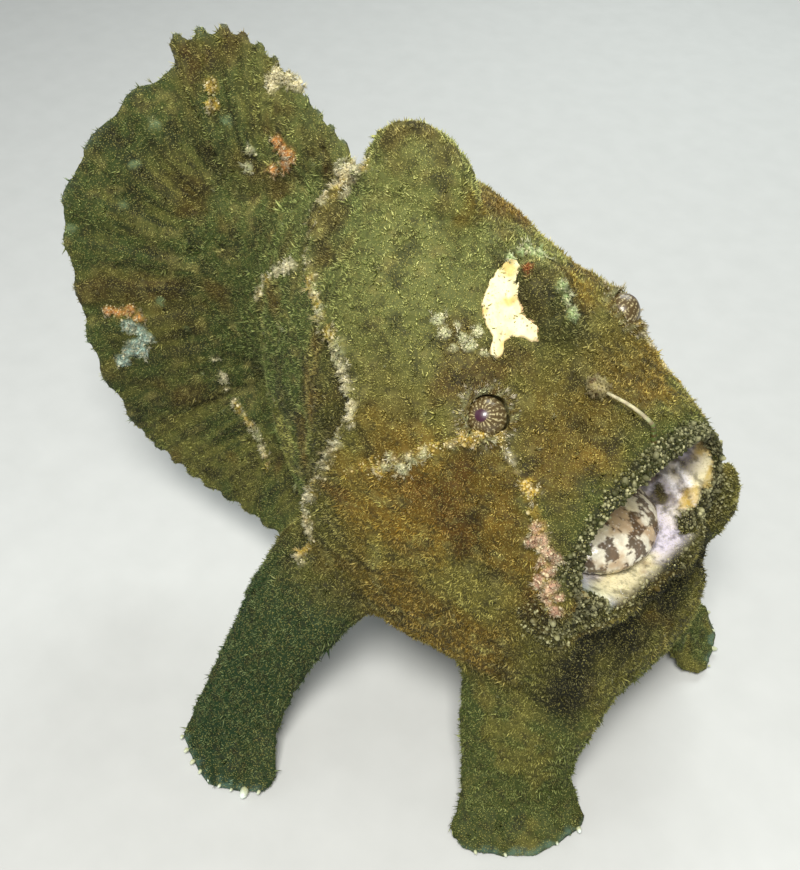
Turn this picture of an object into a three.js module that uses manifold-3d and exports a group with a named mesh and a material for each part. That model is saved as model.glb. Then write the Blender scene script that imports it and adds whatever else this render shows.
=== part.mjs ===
// A giant frogfish at life size, standing on its four limb-like fins with its mouth wide open.
// Millimetres. +X is ahead, +Y is the fish's left, +Z is up, and the floor is z = 0.
import * as THREE from 'three';
import { mergeVertices } from 'three/addons/utils/BufferGeometryUtils.js';
import Module from 'manifold-3d';

const wasm = await Module();
wasm.setup();

// Driving dimensions
const GAP = 0.3;
const HEAD_BACK = 34;
const TAIL_FRONT = -60;
const BODY_FRONT = 122.5;
const BODY_BACK = -92;
const BODY_AROUND = 36;
const BODY_ALONG = 36;
const LOWER_POWER = 2.5;
const TAIL_BEND_START = -40;
const TAIL_BEND_PER_MM = 0.0185;
const HEAD_BEND_START = 36;
const HEAD_BEND_PER_MM = 0.0012;
const EYE_PLACE = [66, 36, 160];
const EYE_RADIUS = 6.5;
const BROW_REACH = 19;
const BROW_HEIGHT = 5;
const MOUTH_HALF_WIDTH = 36;
const MOUTH_CORNER = [106, 38, 103];
const MOUTH_TOP = [109, 0, 146];
const JAW_TIP = [115, 0, 107];
const LIP_RADIUS = 4;

// Profiles of the body: distance along its length, then the height or half width there
const TOP_LINE = [
  [-92, 166], [-80, 168], [-60, 176], [-38, 186], [-14, 197], [6, 203], [20, 200], [38, 189],
  [54, 177], [66, 168], [78, 159], [94, 154], [103, 151], [107, 144], [109, 118], [111, 92],
  [113.5, 80], [118, 73], [122.5, 62],
];
const BOTTOM_LINE = [
  [-92, 120], [-80, 112], [-60, 88], [-38, 62], [-14, 44], [6, 36], [30, 32], [60, 30],
  [84, 31], [98, 33], [108, 36], [115, 41], [119, 47], [122.5, 62],
];
const HALF_WIDTH = [
  [-92, 4], [-80, 8], [-60, 17], [-38, 31], [-18, 41], [-4, 46], [5, 56], [22, 60],
  [44, 60], [62, 57], [80, 53], [95, 49], [104, 46], [109, 43], [114, 39], [118, 32], [121, 19],
  [122.5, 0],
];
const WIDEST_LEVEL = [[-92, 143], [-60, 130], [-20, 108], [30, 98], [66, 96], [104, 84], [113, 70], [122.5, 62]];
const UPPER_POWER = [[-92, 2.2], [0, 2.1], [40, 2.2], [66, 3], [90, 2.8], [122.5, 2.4]];

// Cubic curve through the points of a profile, level past its ends
function along(profile, x) {
  const last = profile.length - 1;
  if (x <= profile[0][0]) return profile[0][1];
  if (x >= profile[last][0]) return profile[last][1];
  let k = 0;
  while (x > profile[k + 1][0]) k += 1;
  const slope = (i) => {
    const a = Math.max(i - 1, 0);
    const b = Math.min(i + 1, last);
    return (profile[b][1] - profile[a][1]) / (profile[b][0] - profile[a][0]);
  };
  const span = profile[k + 1][0] - profile[k][0];
  const t = (x - profile[k][0]) / span;
  const rise = profile[k + 1][1] - profile[k][1];
  const start = slope(k) * span;
  const end = slope(k + 1) * span;
  return profile[k][1] + t * (start + t * (3 * rise - 2 * start - end + t * (start + end - 2 * rise)));
}

// Solids and how they are joined and cut
function solid(geometry) {
  const bare = geometry.clone();
  bare.deleteAttribute('normal');
  bare.deleteAttribute('uv');
  const merged = mergeVertices(bare, 1e-4);
  const points = merged.attributes.position.array;
  const faces = [];
  let volume = 0;
  for (let i = 0; i < merged.index.count; i += 3) {
    const [a, b, c] = [merged.index.getX(i), merged.index.getX(i + 1), merged.index.getX(i + 2)];
    if (a === b || b === c || c === a) continue;
    faces.push(a, b, c);
    const [p, q, r] = [a, b, c].map((n) => new THREE.Vector3().fromArray(points, 3 * n));
    volume += p.dot(q.cross(r));
  }
  if (volume < 0) faces.reverse();
  const mesh = { numProp: 3, vertProperties: new Float32Array(points), triVerts: new Uint32Array(faces) };
  return new wasm.Manifold(new wasm.Mesh(mesh));
}

function grown(geometry, distance) {
  const bare = geometry.clone();
  bare.deleteAttribute('normal');
  bare.deleteAttribute('uv');
  const merged = mergeVertices(bare, 1e-4);
  merged.computeVertexNormals();
  const sign = solid(merged).volume() > 0 && isOutward(merged) ? 1 : -1;
  const { position, normal } = merged.attributes;
  for (let i = 0; i < position.count; i += 1) {
    const shift = sign * distance;
    position.setXYZ(
      i,
      position.getX(i) + shift * normal.getX(i),
      position.getY(i) + shift * normal.getY(i),
      position.getZ(i) + shift * normal.getZ(i),
    );
  }
  return merged;
}

function isOutward(geometry) {
  const { index, attributes } = geometry;
  let volume = 0;
  for (let i = 0; i < index.count; i += 3) {
    const [p, q, r] = [0, 1, 2].map((k) => (
      new THREE.Vector3().fromBufferAttribute(attributes.position, index.getX(i + k))
    ));
    volume += p.dot(q.cross(r));
  }
  return volume > 0;
}

function joined(...solids) {
  return solids.reduce((whole, piece) => whole.add(piece));
}

function largest(shape) {
  const pieces = shape.decompose();
  return pieces.reduce((best, piece) => (piece.volume() > best.volume() ? piece : best));
}

function box(low, high) {
  const size = high.map((value, k) => value - low[k]);
  const geometry = new THREE.BoxGeometry(...size);
  geometry.translate(...high.map((value, k) => (value + low[k]) / 2));
  return solid(geometry);
}

function node(name, shape, colour, roughness) {
  const mesh = largest(shape).getMesh();
  const geometry = new THREE.BufferGeometry();
  geometry.setAttribute('position', new THREE.BufferAttribute(mesh.vertProperties, 3));
  geometry.setIndex(new THREE.BufferAttribute(mesh.triVerts, 1));
  geometry.computeVertexNormals();
  const material = new THREE.MeshStandardMaterial({ color: colour, roughness, metalness: 0 });
  const part = new THREE.Mesh(geometry, material);
  part.name = name;
  return part;
}

// A closed shell: place(angle, t) gives the point at an angle round it, t of the way along it
function shell(around, lengthwise, place) {
  const geometry = new THREE.SphereGeometry(1, around, lengthwise);
  const { position, uv } = geometry.attributes;
  for (let i = 0; i < position.count; i += 1) {
    const point = place(uv.getX(i) * 2 * Math.PI, 1 - uv.getY(i));
    position.setXYZ(i, ...point);
  }
  return geometry;
}

function ellipsoid(centre, radii, around = 16, lengthwise = 10, pitch = 0) {
  const geometry = new THREE.SphereGeometry(1, around, lengthwise);
  geometry.scale(...radii);
  geometry.rotateY(pitch);
  geometry.translate(...centre);
  return geometry;
}

function mirrored(geometry) {
  return geometry.clone().scale(1, -1, 1);
}

function tube(points, radius, sides, steps, closed = false) {
  const path = new THREE.CatmullRomCurve3(points.map((p) => new THREE.Vector3(...p)), closed);
  const round = new THREE.Shape().absarc(0, 0, radius, 0, 2 * Math.PI);
  round.autoClose = true;
  const section = new THREE.Shape(round.getSpacedPoints(sides).slice(0, sides));
  return new THREE.ExtrudeGeometry(section, { steps, extrudePath: path, bevelEnabled: false });
}

// The fish bends to its right: the tail strongly, the head a little
function bent([x, y, z]) {
  const start = THREE.MathUtils.clamp(x, TAIL_BEND_START, HEAD_BEND_START);
  const ahead = x > start ? 1 : -1;
  const radius = 1 / (ahead > 0 ? HEAD_BEND_PER_MM : TAIL_BEND_PER_MM);
  const turned = Math.abs(x - start) / radius;
  return [
    start + ahead * (radius + y) * Math.sin(turned),
    y - (radius + y) * (1 - Math.cos(turned)),
    z,
  ];
}

function posed(geometry) {
  const { position } = geometry.attributes;
  for (let i = 0; i < position.count; i += 1) {
    position.setXYZ(i, ...bent([position.getX(i), position.getY(i), position.getZ(i)]));
  }
  return geometry;
}

// The whole body from throat to the root of the tail fin
const spread = (value, power) => Math.sign(value) * Math.abs(value) ** (2 / power);

function browLift(x, y, z) {
  const [ex, ey, ez] = EYE_PLACE;
  const reach = Math.hypot(x - ex, Math.abs(y) - ey, z - ez) / BROW_REACH;
  return reach < 1 ? BROW_HEIGHT * (1 - reach * reach) ** 2 : 0;
}

function bodyPoint(angle, t) {
  const x = BODY_FRONT + (BODY_BACK - BODY_FRONT) * stationSpacing(t);
  const level = along(WIDEST_LEVEL, x);
  const upper = Math.sin(angle) > 0;
  const power = upper ? along(UPPER_POWER, x) : LOWER_POWER;
  const height = upper ? along(TOP_LINE, x) - level : level - along(BOTTOM_LINE, x);
  const end = t === 0 || t === 1 ? 0 : 1;
  const y = end * along(HALF_WIDTH, x) * spread(Math.cos(angle), power);
  const z = level + end * height * spread(Math.sin(angle), power);
  const lift = browLift(x, y, z);
  return [x, y + 0.6 * lift * Math.sign(y), z + 0.8 * lift];
}

function stationSpacing(t) {
  return t < 0.25 ? 0.16 * (t / 0.25) ** 1.6 : 0.16 + 0.84 * ((t - 0.25) / 0.75);
}

const bodyShape = posed(shell(BODY_AROUND, BODY_ALONG, bodyPoint));
const body = solid(bodyShape);
const bodyGrown = solid(grown(bodyShape, GAP));

// The mouth: its hollow, the lower jaw and the lips
const MOUTH_BACK = 58;
const MOUTH_FRONT = 150;
const MOUTH_LEVEL = [[58, 112], [80, 114], [104, 119], [128, 122], [150, 126]];
const MOUTH_WIDE = [[58, 3], [66, 17], [80, 27], [106, MOUTH_HALF_WIDTH], [150, 43]];
const MOUTH_HIGH = [[58, 3], [66, 11], [80, 18], [106, 25], [128, 26], [150, 30]];

function hollowPoint(angle, t) {
  const x = MOUTH_BACK + (MOUTH_FRONT - MOUTH_BACK) * t;
  const end = t === 0 || t === 1 ? 0 : 1;
  return [
    x,
    end * along(MOUTH_WIDE, x) * spread(Math.cos(angle), 2.4),
    along(MOUTH_LEVEL, x) + end * along(MOUTH_HIGH, x) * spread(Math.sin(angle), 2.2),
  ];
}

const hollowShape = posed(shell(24, 12, hollowPoint));
const hollow = solid(hollowShape);
const hollowInside = solid(grown(hollowShape, -GAP));

const JAW_CENTRE = [88, 0, 92];
const JAW_RADII = [31.5, 45, 15];
const JAW_PITCH = -0.12;
const jawShape = posed(shell(28, 12, (angle, t) => {
  const ring = Math.sin(Math.PI * t);
  const rise = Math.cos(Math.PI * t);
  const x = JAW_RADII[0] * spread(Math.cos(angle) * ring, 2.5);
  const y = JAW_RADII[1] * spread(Math.sin(angle) * ring, 2.5);
  const z = JAW_RADII[2] * spread(rise, 2.6);
  const [c, s] = [Math.cos(JAW_PITCH), Math.sin(JAW_PITCH)];
  return [JAW_CENTRE[0] + c * x + s * z, y, JAW_CENTRE[2] - s * x + c * z];
}));
const lowerLipPath = [-1, -0.86, -0.5, 0, 0.5, 0.86, 1].map((side) => {
  const ahead = Math.sqrt(1 - side * side);
  return [
    MOUTH_CORNER[0] - 3 + (JAW_TIP[0] - MOUTH_CORNER[0]) * ahead,
    (MOUTH_CORNER[1] + 1) * side,
    MOUTH_CORNER[2] - 2 + (JAW_TIP[2] - MOUTH_CORNER[2]) * ahead,
  ];
});
const lowerLip = posed(tube(lowerLipPath, LIP_RADIUS, 8, 18));
const upperLipPath = [-1, -0.93, -0.7, -0.3, 0.3, 0.7, 0.93, 1].map((side) => {
  const up = Math.sqrt(1 - side * side);
  return [
    MOUTH_CORNER[0] + (MOUTH_TOP[0] - MOUTH_CORNER[0]) * up,
    (MOUTH_CORNER[1] + 1) * side,
    MOUTH_CORNER[2] + 4 + (MOUTH_TOP[2] - MOUTH_CORNER[2] - 4) * up,
  ];
});
const upperLip = posed(tube(upperLipPath, LIP_RADIUS, 8, 22));
const upperJawBone = [
  solid(posed(ellipsoid([105, -43, 105], [7.5, 5.5, 17], 12, 8, 0.2))),
  solid(posed(ellipsoid([106, 47, 90], [9.5, 8, 23], 12, 8, 0.15))),
];
const jaw = solid(jawShape).add(solid(lowerLip)).subtract(hollow);
const jawGrown = solid(grown(jawShape, GAP)).add(solid(grown(lowerLip, GAP)));

// Nostrils on the snout and the round gill openings behind the arms: short tubes with a hole
function backLevel(x, y) {
  const power = along(UPPER_POWER, x);
  const level = along(WIDEST_LEVEL, x);
  const height = along(TOP_LINE, x) - level;
  return level + height * (1 - Math.abs(y / along(HALF_WIDTH, x)) ** power) ** (1 / power);
}

function shortTube(foot, direction, radius, height) {
  const reach = (distance) => foot.map((value, k) => value + distance * direction[k]);
  const wall = solid(posed(tube([reach(-4), reach(0), reach(height)], radius, 10, 3)));
  const hole = solid(posed(tube([reach(-1.5), reach(1), reach(height + 2)], radius / 2, 8, 3)));
  return { wall, hole };
}

const NOSTRILS = [[100, 11, 1.9, 2.6], [90, 18, 1.7, 1.4]];
const nostrils = [1, -1].flatMap((side) => NOSTRILS.map(([x, y, radius, height]) => (
  shortTube([x, side * y, backLevel(x, y)], [0.35, 0.25 * side, 0.9], radius, height)
)));
const GILL_OPENING = [-12, 42, 82];
const gillOpenings = [1, -1].map((side) => (
  shortTube([GILL_OPENING[0], side * GILL_OPENING[1], GILL_OPENING[2]], [-0.35, 0.85 * side, -0.4], 3, 2.5)
));

function withTubes(shape, tubes) {
  return joined(shape, ...tubes.map(({ wall }) => wall)).subtract(joined(...tubes.map(({ hole }) => hole)));
}

// Eyes
const eyeBall = (side, radius) => {
  const [x, y, z] = EYE_PLACE;
  return solid(posed(ellipsoid([x, side * y, z], [radius, radius, radius], 14, 10)));
};

// Head, trunk and tail are parted by thin upright cuts
const FAR = 400;
const headPart = body.subtract(box([-FAR, -FAR, -FAR], [HEAD_BACK + GAP / 2, FAR, FAR]));
const trunkPart = body
  .subtract(box([HEAD_BACK - GAP / 2, -FAR, -FAR], [FAR, FAR, FAR]))
  .subtract(box([-FAR, -FAR, -FAR], [TAIL_FRONT + GAP / 2, FAR, FAR]));
const tailPart = body.subtract(box([TAIL_FRONT - GAP / 2, -FAR, -FAR], [FAR, FAR, FAR]));

const head = withTubes(joined(headPart, solid(upperLip), ...upperJawBone), nostrils)
  .subtract(jawGrown)
  .subtract(hollow)
  .subtract(eyeBall(-1, EYE_RADIUS + GAP))
  .subtract(eyeBall(1, EYE_RADIUS + GAP));
const headGrown = joined(bodyGrown, solid(grown(upperLip, GAP)));

// Tongue and gill arches inside the mouth
const tongueShape = posed(ellipsoid([88, 0, 103], [22, 23, 10], 16, 10, 0.1));
const tongue = solid(tongueShape).intersect(hollowInside);
const archSolids = [1, -1].flatMap((side) => [0, 1, 2].map((k) => solid(posed(tube([
  [76 - 4 * k, side * (9 + 5 * k), 128 - k],
  [83 - 2 * k, side * (20 + 3 * k), 120],
  [80 - 2 * k, side * (18 + 3 * k), 110],
  [74 - 3 * k, side * (8 + 5 * k), 103],
], 1.8, 6, 7)))));
const archPad = solid(posed(ellipsoid([66, 0, 113], [9, 24, 17], 14, 8)));
const gillArches = joined(archPad, ...archSolids)
  .intersect(hollowInside)
  .subtract(solid(grown(tongueShape, GAP)));

// The three first spines of the back
const lure = joined(
  solid(posed(tube([[105, 0, 150], [103, -1, 157], [96, -2, 160], [87, -3, 161]], 0.9, 6, 9))),
  solid(posed(ellipsoid([84, -3, 161.5], [5, 3.6, 3], 10, 6))),
).subtract(bodyGrown);
const secondSpineShape = posed(ellipsoid([60, 0, 177], [9.5, 8, 19], 14, 10, -0.35));
const thirdSpineShape = posed(ellipsoid([8, 0, 199], [22, 14, 25], 18, 12, -0.2));

// Fins as membranes: a middle surface given by root and tip lines, with rays raised on both faces
function curve(points) {
  return new THREE.CatmullRomCurve3(points.map((p) => new THREE.Vector3(...p)));
}

function membrane({ root, tip, rays, perRay, steps, rootHalf, tipHalf, bow, scallop }) {
  const [rootLine, tipLine] = [curve(root), curve(tip)];
  const columns = rays * perRay;
  const ridge = (u) => (0.5 + 0.5 * Math.cos(2 * Math.PI * (u * rays - 0.5)));
  const middle = (u, v) => {
    const start = rootLine.getPoint(u);
    const end = tipLine.getPoint(u);
    const reach = v * (1 - scallop * (1 - ridge(u)) * v * v);
    const bowed = new THREE.Vector3(...bow).multiplyScalar(Math.sin(Math.PI * Math.min(reach, 1)));
    return start.lerp(end, reach).add(bowed);
  };
  const points = [];
  const faces = [];
  const step = 1e-3;
  for (const side of [1, -1]) {
    for (let i = 0; i <= columns; i += 1) {
      for (let j = 0; j <= steps; j += 1) {
        const [u, v] = [i / columns, j / steps];
        const across = middle(Math.min(u + step, 1), v).sub(middle(Math.max(u - step, 0), v));
        const out = middle(u, Math.min(v + step, 1)).sub(middle(u, Math.max(v - step, 0)));
        const normal = across.cross(out).normalize();
        const edge = i === 0 || i === columns ? 0.55 : 1;
        const flat = (rootHalf + (tipHalf - rootHalf) * v) * edge;
        const half = flat * (0.72 + 0.5 * ridge(u));
        points.push(...middle(u, v).addScaledVector(normal, side * half).toArray());
      }
    }
  }
  const at = (side, i, j) => side * (columns + 1) * (steps + 1) + i * (steps + 1) + j;
  for (let i = 0; i < columns; i += 1) {
    for (let j = 0; j < steps; j += 1) {
      const [a, b, c, d] = [[i, j], [i + 1, j], [i + 1, j + 1], [i, j + 1]];
      faces.push(at(0, ...a), at(0, ...b), at(0, ...c), at(0, ...a), at(0, ...c), at(0, ...d));
      faces.push(at(1, ...a), at(1, ...c), at(1, ...b), at(1, ...a), at(1, ...d), at(1, ...c));
    }
  }
  const rim = [];
  for (let i = 0; i < columns; i += 1) rim.push([i, 0]);
  for (let j = 0; j < steps; j += 1) rim.push([columns, j]);
  for (let i = columns; i > 0; i -= 1) rim.push([i, steps]);
  for (let j = steps; j > 0; j -= 1) rim.push([0, j]);
  rim.forEach((here, k) => {
    const next = rim[(k + 1) % rim.length];
    faces.push(at(0, ...here), at(1, ...here), at(0, ...next));
    faces.push(at(0, ...next), at(1, ...here), at(1, ...next));
  });
  const geometry = new THREE.BufferGeometry();
  geometry.setAttribute('position', new THREE.Float32BufferAttribute(points, 3));
  geometry.setIndex(faces);
  return geometry;
}

const dorsalShape = membrane({
  root: [[-14, 0, 192], [-36, 0, 181], [-54, -2, 174], [-68, -7, 170]],
  tip: [[-20, 0, 204], [-36, -1, 216], [-48, -2, 227], [-68, -4, 235], [-91, -15, 229]],
  rays: 12,
  perRay: 3,
  steps: 5,
  rootHalf: 3,
  tipHalf: 0.7,
  bow: [0, -3, 0],
  scallop: 0.05,
});
const analShape = membrane({
  root: [[-22, -8, 56], [-42, -7, 72], [-60, -8, 94]],
  tip: [[-24, -38, 40], [-56, -36, 40], [-86, -37, 41], [-106, -41, 53]],
  rays: 8,
  perRay: 3,
  steps: 5,
  rootHalf: 3,
  tipHalf: 0.7,
  bow: [0, -4, 0],
  scallop: 0.05,
});

// The tail fin is twisted, its lower edge furthest to the right, so that it faces forward
const caudalShape = membrane({
  root: [[-66, -3, 170], [-79, -16, 142], [-58, -5, 93]],
  tip: [
    [-84, -6, 222], [-104, -28, 206], [-114, -53, 174], [-112, -57, 139], [-108, -57, 103],
    [-104, -45, 59],
  ],
  rays: 9,
  perRay: 4,
  steps: 6,
  rootHalf: 3.4,
  tipHalf: 0.7,
  bow: [-3, -3, 0],
  scallop: 0.03,
});

// Limb-like fins: a fleshy arm that spreads into a fan with toes set flat on the floor
function limb({ path, wideLine, widths, halves, rays, toe, around, lengthwise }) {
  const [centreLine, sideLine] = [curve(path), curve(wideLine)];
  const profile = (values, t) => along(values.map((value, k) => [k / (values.length - 1), value]), t);
  return shell(around, lengthwise, (angle, t) => {
    const reach = 0.5 - 0.5 * Math.cos(Math.PI * t);
    const across = Math.cos(angle);
    const ridge = 0.5 + 0.5 * Math.cos(Math.PI * rays * (across + 1) - Math.PI);
    const fan = THREE.MathUtils.smoothstep(reach, 0.55, 0.9);
    const centre = centreLine.getPoint(Math.min(reach, 1));
    const tangent = centreLine.getTangent(reach).normalize();
    const side = sideLine.getPoint(reach).normalize();
    const normal = new THREE.Vector3().crossVectors(side, tangent).normalize();
    const end = t === 0 || t === 1 ? 0 : 1;
    const wide = profile(widths, reach) * end;
    const half = profile(halves, reach) * (1 + fan * (0.5 * ridge - 0.25)) * end;
    const drawn = toe * fan * ((ridge - 1) * 0.35 - across * across);
    return centre
      .addScaledVector(side, wide * across)
      .addScaledVector(normal, half * spread(Math.sin(angle), 2.4))
      .addScaledVector(tangent, end * drawn)
      .toArray();
  });
}

const pectoralShape = limb({
  path: [[12, -38, 74], [9, -62, 60], [3, -82, 37], [1, -96, 16], [4, -107, 4], [7, -121, 1.4]],
  wideLine: [[1, 0, 0.2], [1, 0.15, 0.1], [1, 0.2, 0], [1, 0.05, 0], [1, 0.05, 0]],
  widths: [28, 24, 18, 19, 23, 23],
  halves: [14, 12, 8, 5, 3, 1.6],
  rays: 9,
  toe: 9,
  around: 36,
  lengthwise: 12,
});
const pelvicShape = limb({
  path: [[88, -20, 62], [91, -36, 46], [94, -46, 28], [99, -52, 12], [106, -59, 4], [118, -66, 1.4]],
  wideLine: [[1, 0.1, 0], [1, 0.2, 0], [0.8, 0.5, 0], [0.6, 0.8, 0], [0.6, 0.8, 0]],
  widths: [30, 28, 22, 21, 25, 25],
  halves: [15, 13, 10, 6, 3.2, 1.6],
  rays: 5,
  toe: 7,
  around: 28,
  lengthwise: 12,
});
const underFloor = box([-FAR, -FAR, -FAR], [FAR, FAR, 0]);
const standing = (shape) => shape.subtract(headGrown).subtract(underFloor);

// Colours from the photograph: olive green and brown skin, cream and lilac inside the mouth
const OLIVE = 0x6b6428;
const GREEN_BROWN = 0x565a2a;
const DARK_OLIVE = 0x45431f;
const CREAM = 0xd8cdb0;
const LILAC = 0xb9b3c4;
const EYE_BROWN = 0x5a3d3a;

const caudal = solid(caudalShape)
  .subtract(bodyGrown)
  .subtract(solid(grown(dorsalShape, GAP)))
  .subtract(solid(grown(analShape, GAP)));
const pelvic = solid(pelvicShape);
const pectoral = solid(pectoralShape);
const frogfish = new THREE.Group();
frogfish.add(
  node('head', head, OLIVE, 0.8),
  node('lower_jaw', jaw, OLIVE, 0.8),
  node('trunk', withTubes(trunkPart, gillOpenings), OLIVE, 0.8),
  node('tail', tailPart, GREEN_BROWN, 0.8),
  node('tongue', tongue.subtract(solid(grown(lowerLip, GAP))), CREAM, 0.45),
  node('gill_arches', gillArches, LILAC, 0.45),
  node('eye_right', eyeBall(-1, EYE_RADIUS), EYE_BROWN, 0.2),
  node('eye_left', eyeBall(1, EYE_RADIUS), EYE_BROWN, 0.2),
  node('lure', lure, DARK_OLIVE, 0.7),
  node('second_dorsal_spine', solid(secondSpineShape).subtract(bodyGrown), DARK_OLIVE, 0.8),
  node('third_dorsal_spine', solid(thirdSpineShape).subtract(bodyGrown), OLIVE, 0.8),
  node('dorsal_fin', solid(dorsalShape).subtract(bodyGrown).subtract(solid(grown(thirdSpineShape, GAP))),
    GREEN_BROWN, 0.75),
  node('anal_fin', solid(analShape).subtract(bodyGrown), GREEN_BROWN, 0.75),
  node('caudal_fin', caudal, GREEN_BROWN, 0.75),
  node('pectoral_fin_right', standing(pectoral), OLIVE, 0.8),
  node('pectoral_fin_left', standing(solid(mirrored(pectoralShape))), OLIVE, 0.8),
  node('pelvic_fin_right', standing(pelvic), OLIVE, 0.8),
  node('pelvic_fin_left', standing(solid(mirrored(pelvicShape))), OLIVE, 0.8),
);

// The origin lies on the floor under the middle of the whole fish
const middle = new THREE.Box3().setFromObject(frogfish).getCenter(new THREE.Vector3());
frogfish.position.set(-middle.x, -middle.y, 0);

export default frogfish;
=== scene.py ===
import math

import bpy
import numpy as np
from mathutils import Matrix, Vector
from mathutils.bvhtree import BVHTree


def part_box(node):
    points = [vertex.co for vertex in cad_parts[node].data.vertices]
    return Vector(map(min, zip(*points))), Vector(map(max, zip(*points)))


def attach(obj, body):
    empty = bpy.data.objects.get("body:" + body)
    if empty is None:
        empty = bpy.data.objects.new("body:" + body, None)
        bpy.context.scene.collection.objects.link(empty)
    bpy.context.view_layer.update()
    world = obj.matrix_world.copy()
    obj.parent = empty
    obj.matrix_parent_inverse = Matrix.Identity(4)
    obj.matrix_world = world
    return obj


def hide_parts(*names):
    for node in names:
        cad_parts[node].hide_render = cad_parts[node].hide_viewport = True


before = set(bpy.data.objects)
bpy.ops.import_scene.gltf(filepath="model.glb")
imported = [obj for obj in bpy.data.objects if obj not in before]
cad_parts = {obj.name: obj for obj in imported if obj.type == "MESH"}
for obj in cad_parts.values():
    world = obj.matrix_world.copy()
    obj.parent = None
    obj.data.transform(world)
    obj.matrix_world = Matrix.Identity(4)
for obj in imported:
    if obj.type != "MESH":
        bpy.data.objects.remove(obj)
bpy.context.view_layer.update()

MM = 0.001

# The camera at the photograph's angle, in metres
AZIMUTH, ELEVATION = math.radians(40), math.radians(42)
FOCAL_PIXELS, FRAME_WIDE, FRAME_HIGH = 1196, 800, 870
AIMED_AT, CAMERA_AWAY = np.array([-5.28, 0, 90]) * MM, 0.460
CAMERA_BACK = np.array([
    math.sin(AZIMUTH) * math.cos(ELEVATION),
    -math.cos(AZIMUTH) * math.cos(ELEVATION),
    math.sin(ELEVATION),
])
CAMERA_RIGHT = np.array([math.cos(AZIMUTH), math.sin(AZIMUTH), 0.0])
CAMERA_UP = np.cross(CAMERA_BACK, CAMERA_RIGHT)
CAMERA_AT = AIMED_AT + CAMERA_BACK * CAMERA_AWAY

# Sizes of the fish before its bend, in millimetres, the same as in the solids
# Each bend, of the tail and of the head: its start, its curvature, and 1 ahead of its start or -1 behind
BENDS = ((-40, 0.0185, -1), (36, 0.0012, 1))
EYE_PLACE = np.array([66, 36, 160.0])
EYE_RADIUS = 6.3
MOUTH_WIDE = [[58, 3], [66, 17], [80, 27], [106, 36], [150, 43]]
MOUTH_HIGH = [[58, 3], [66, 11], [80, 18], [106, 25], [128, 26], [150, 30]]
MOUTH_LEVEL = [[58, 112], [80, 114], [104, 119], [128, 122], [150, 126]]
MOUTH_MIDDLE = np.array([90, 0, 118.0])

FLESH = [
    "head", "lower_jaw", "trunk", "tail", "second_dorsal_spine", "third_dorsal_spine",
    "dorsal_fin", "anal_fin", "caudal_fin",
    "pectoral_fin_right", "pectoral_fin_left", "pelvic_fin_right", "pelvic_fin_left",
]
SKIN_VOXEL, SKIN_SWELL, SKIN_SINK = 1.0 * MM, 0.45 * MM, 0.25 * MM
WEB_THICK = 1.9
SKIN_TRIANGLES = 190000


# Numbers and curves
def tone(code):
    """Linear colour of a six-digit hex code."""
    value = np.array([int(code[k:k + 2], 16) / 255 for k in (0, 2, 4)])
    return np.where(value <= 0.04045, value / 12.92, ((value + 0.055) / 1.055) ** 2.4)


def rgba(code):
    """The same with full opacity, for a shader."""
    return (*tone(code), 1)


OLIVE, GOLD, DARK = tone("625f26"), tone("7a5f1c"), tone("1f200c")
GREEN, BROWN, MOSS = tone("4a5e2c"), tone("5f3a0e"), tone("807d3a")
# The deep green is painted shade, laid on the standing pectoral fins
# The top green is painted light, laid on the top of the back
LIMB_SHADE_GREEN, GRASS, TOP_LIGHT_GREEN = tone("1f4224"), tone("5c7038"), tone("8f9a58")
CREAM, YELLOW, PALE = tone("e6dcb4"), tone("b89a3e"), tone("b4b78e")
LILAC, SEA, INK = tone("cfc8d6"), tone("9fb9ae"), tone("1b140e")


def ease(low, high, value):
    """0 below low, 1 above high, and a smooth step between."""
    t = np.clip((value - low) / (high - low), 0, 1)
    return t * t * (3 - 2 * t)


def blend(first, second, share):
    """first where share is 0 and second where it is 1."""
    share = np.asarray(share)[..., None]
    return first * (1 - share) + second * share


def coats(ground, *steps):
    """A ground under coats of colour, each laid over those before by its share from 0 to 1."""
    for colour, share in steps:
        ground = blend(ground, colour, share)
    return ground


def length(v):
    """Lengths of vectors."""
    return np.linalg.norm(v, axis=-1)


def unit(v):
    """Vectors made one long."""
    return v / np.linalg.norm(v, axis=-1, keepdims=True)


def along(profile, x):
    """Straight lines through the points of a profile, level past its ends."""
    return np.interp(x, *np.array(profile, float).T)


def lattice(cells, salt):
    """A random number from 0 to 1 for each whole-numbered cell."""
    mixed = (
        cells[..., 0] * 73856093 ^ cells[..., 1] * 19349663 ^ cells[..., 2] * 83492791
        ^ (salt * 40503 + 7)
    ) & 0xFFFFFFFF
    mixed = ((mixed ^ (mixed >> 15)) * 0x2C1B3C6D) & 0xFFFFFFFF
    mixed = ((mixed ^ (mixed >> 12)) * 0x297A2D39) & 0xFFFFFFFF
    return ((mixed ^ (mixed >> 15)) & 0xFFFFFF) / 0xFFFFFF


def cloud(p, size, salt):
    """Smooth random value from -1 to 1: lattice values, size apart, blended by a cubic ease."""
    q = p / size
    cell = np.floor(q).astype(np.int64)
    f = q - cell
    f = f * f * (3 - 2 * f)
    total = np.zeros(len(p))
    for corner in np.ndindex(2, 2, 2):
        weight = np.prod(np.where(np.array(corner) == 1, f, 1 - f), axis=1)
        total += weight * lattice(cell + np.array(corner), salt)
    return 2 * total - 1


def layered(p, size, salt):
    """Three clouds, each half the size and half the strength of the one before."""
    first, second, third = [cloud(p, size / 2 ** k, salt + k) for k in range(3)]
    return (first + 0.5 * second + 0.25 * third) / 1.4


def blots(p, size, salt, low, high):
    """Soft blots where three layered clouds rise from low to high."""
    return ease(low, high, layered(p, size, salt))


def streaks(u, v, across, outward, salt):
    """Clouds drawn out along a fin's rays."""
    return cloud(np.stack([u * across, v * outward, u * 0], 1), 1.0, salt)


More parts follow.
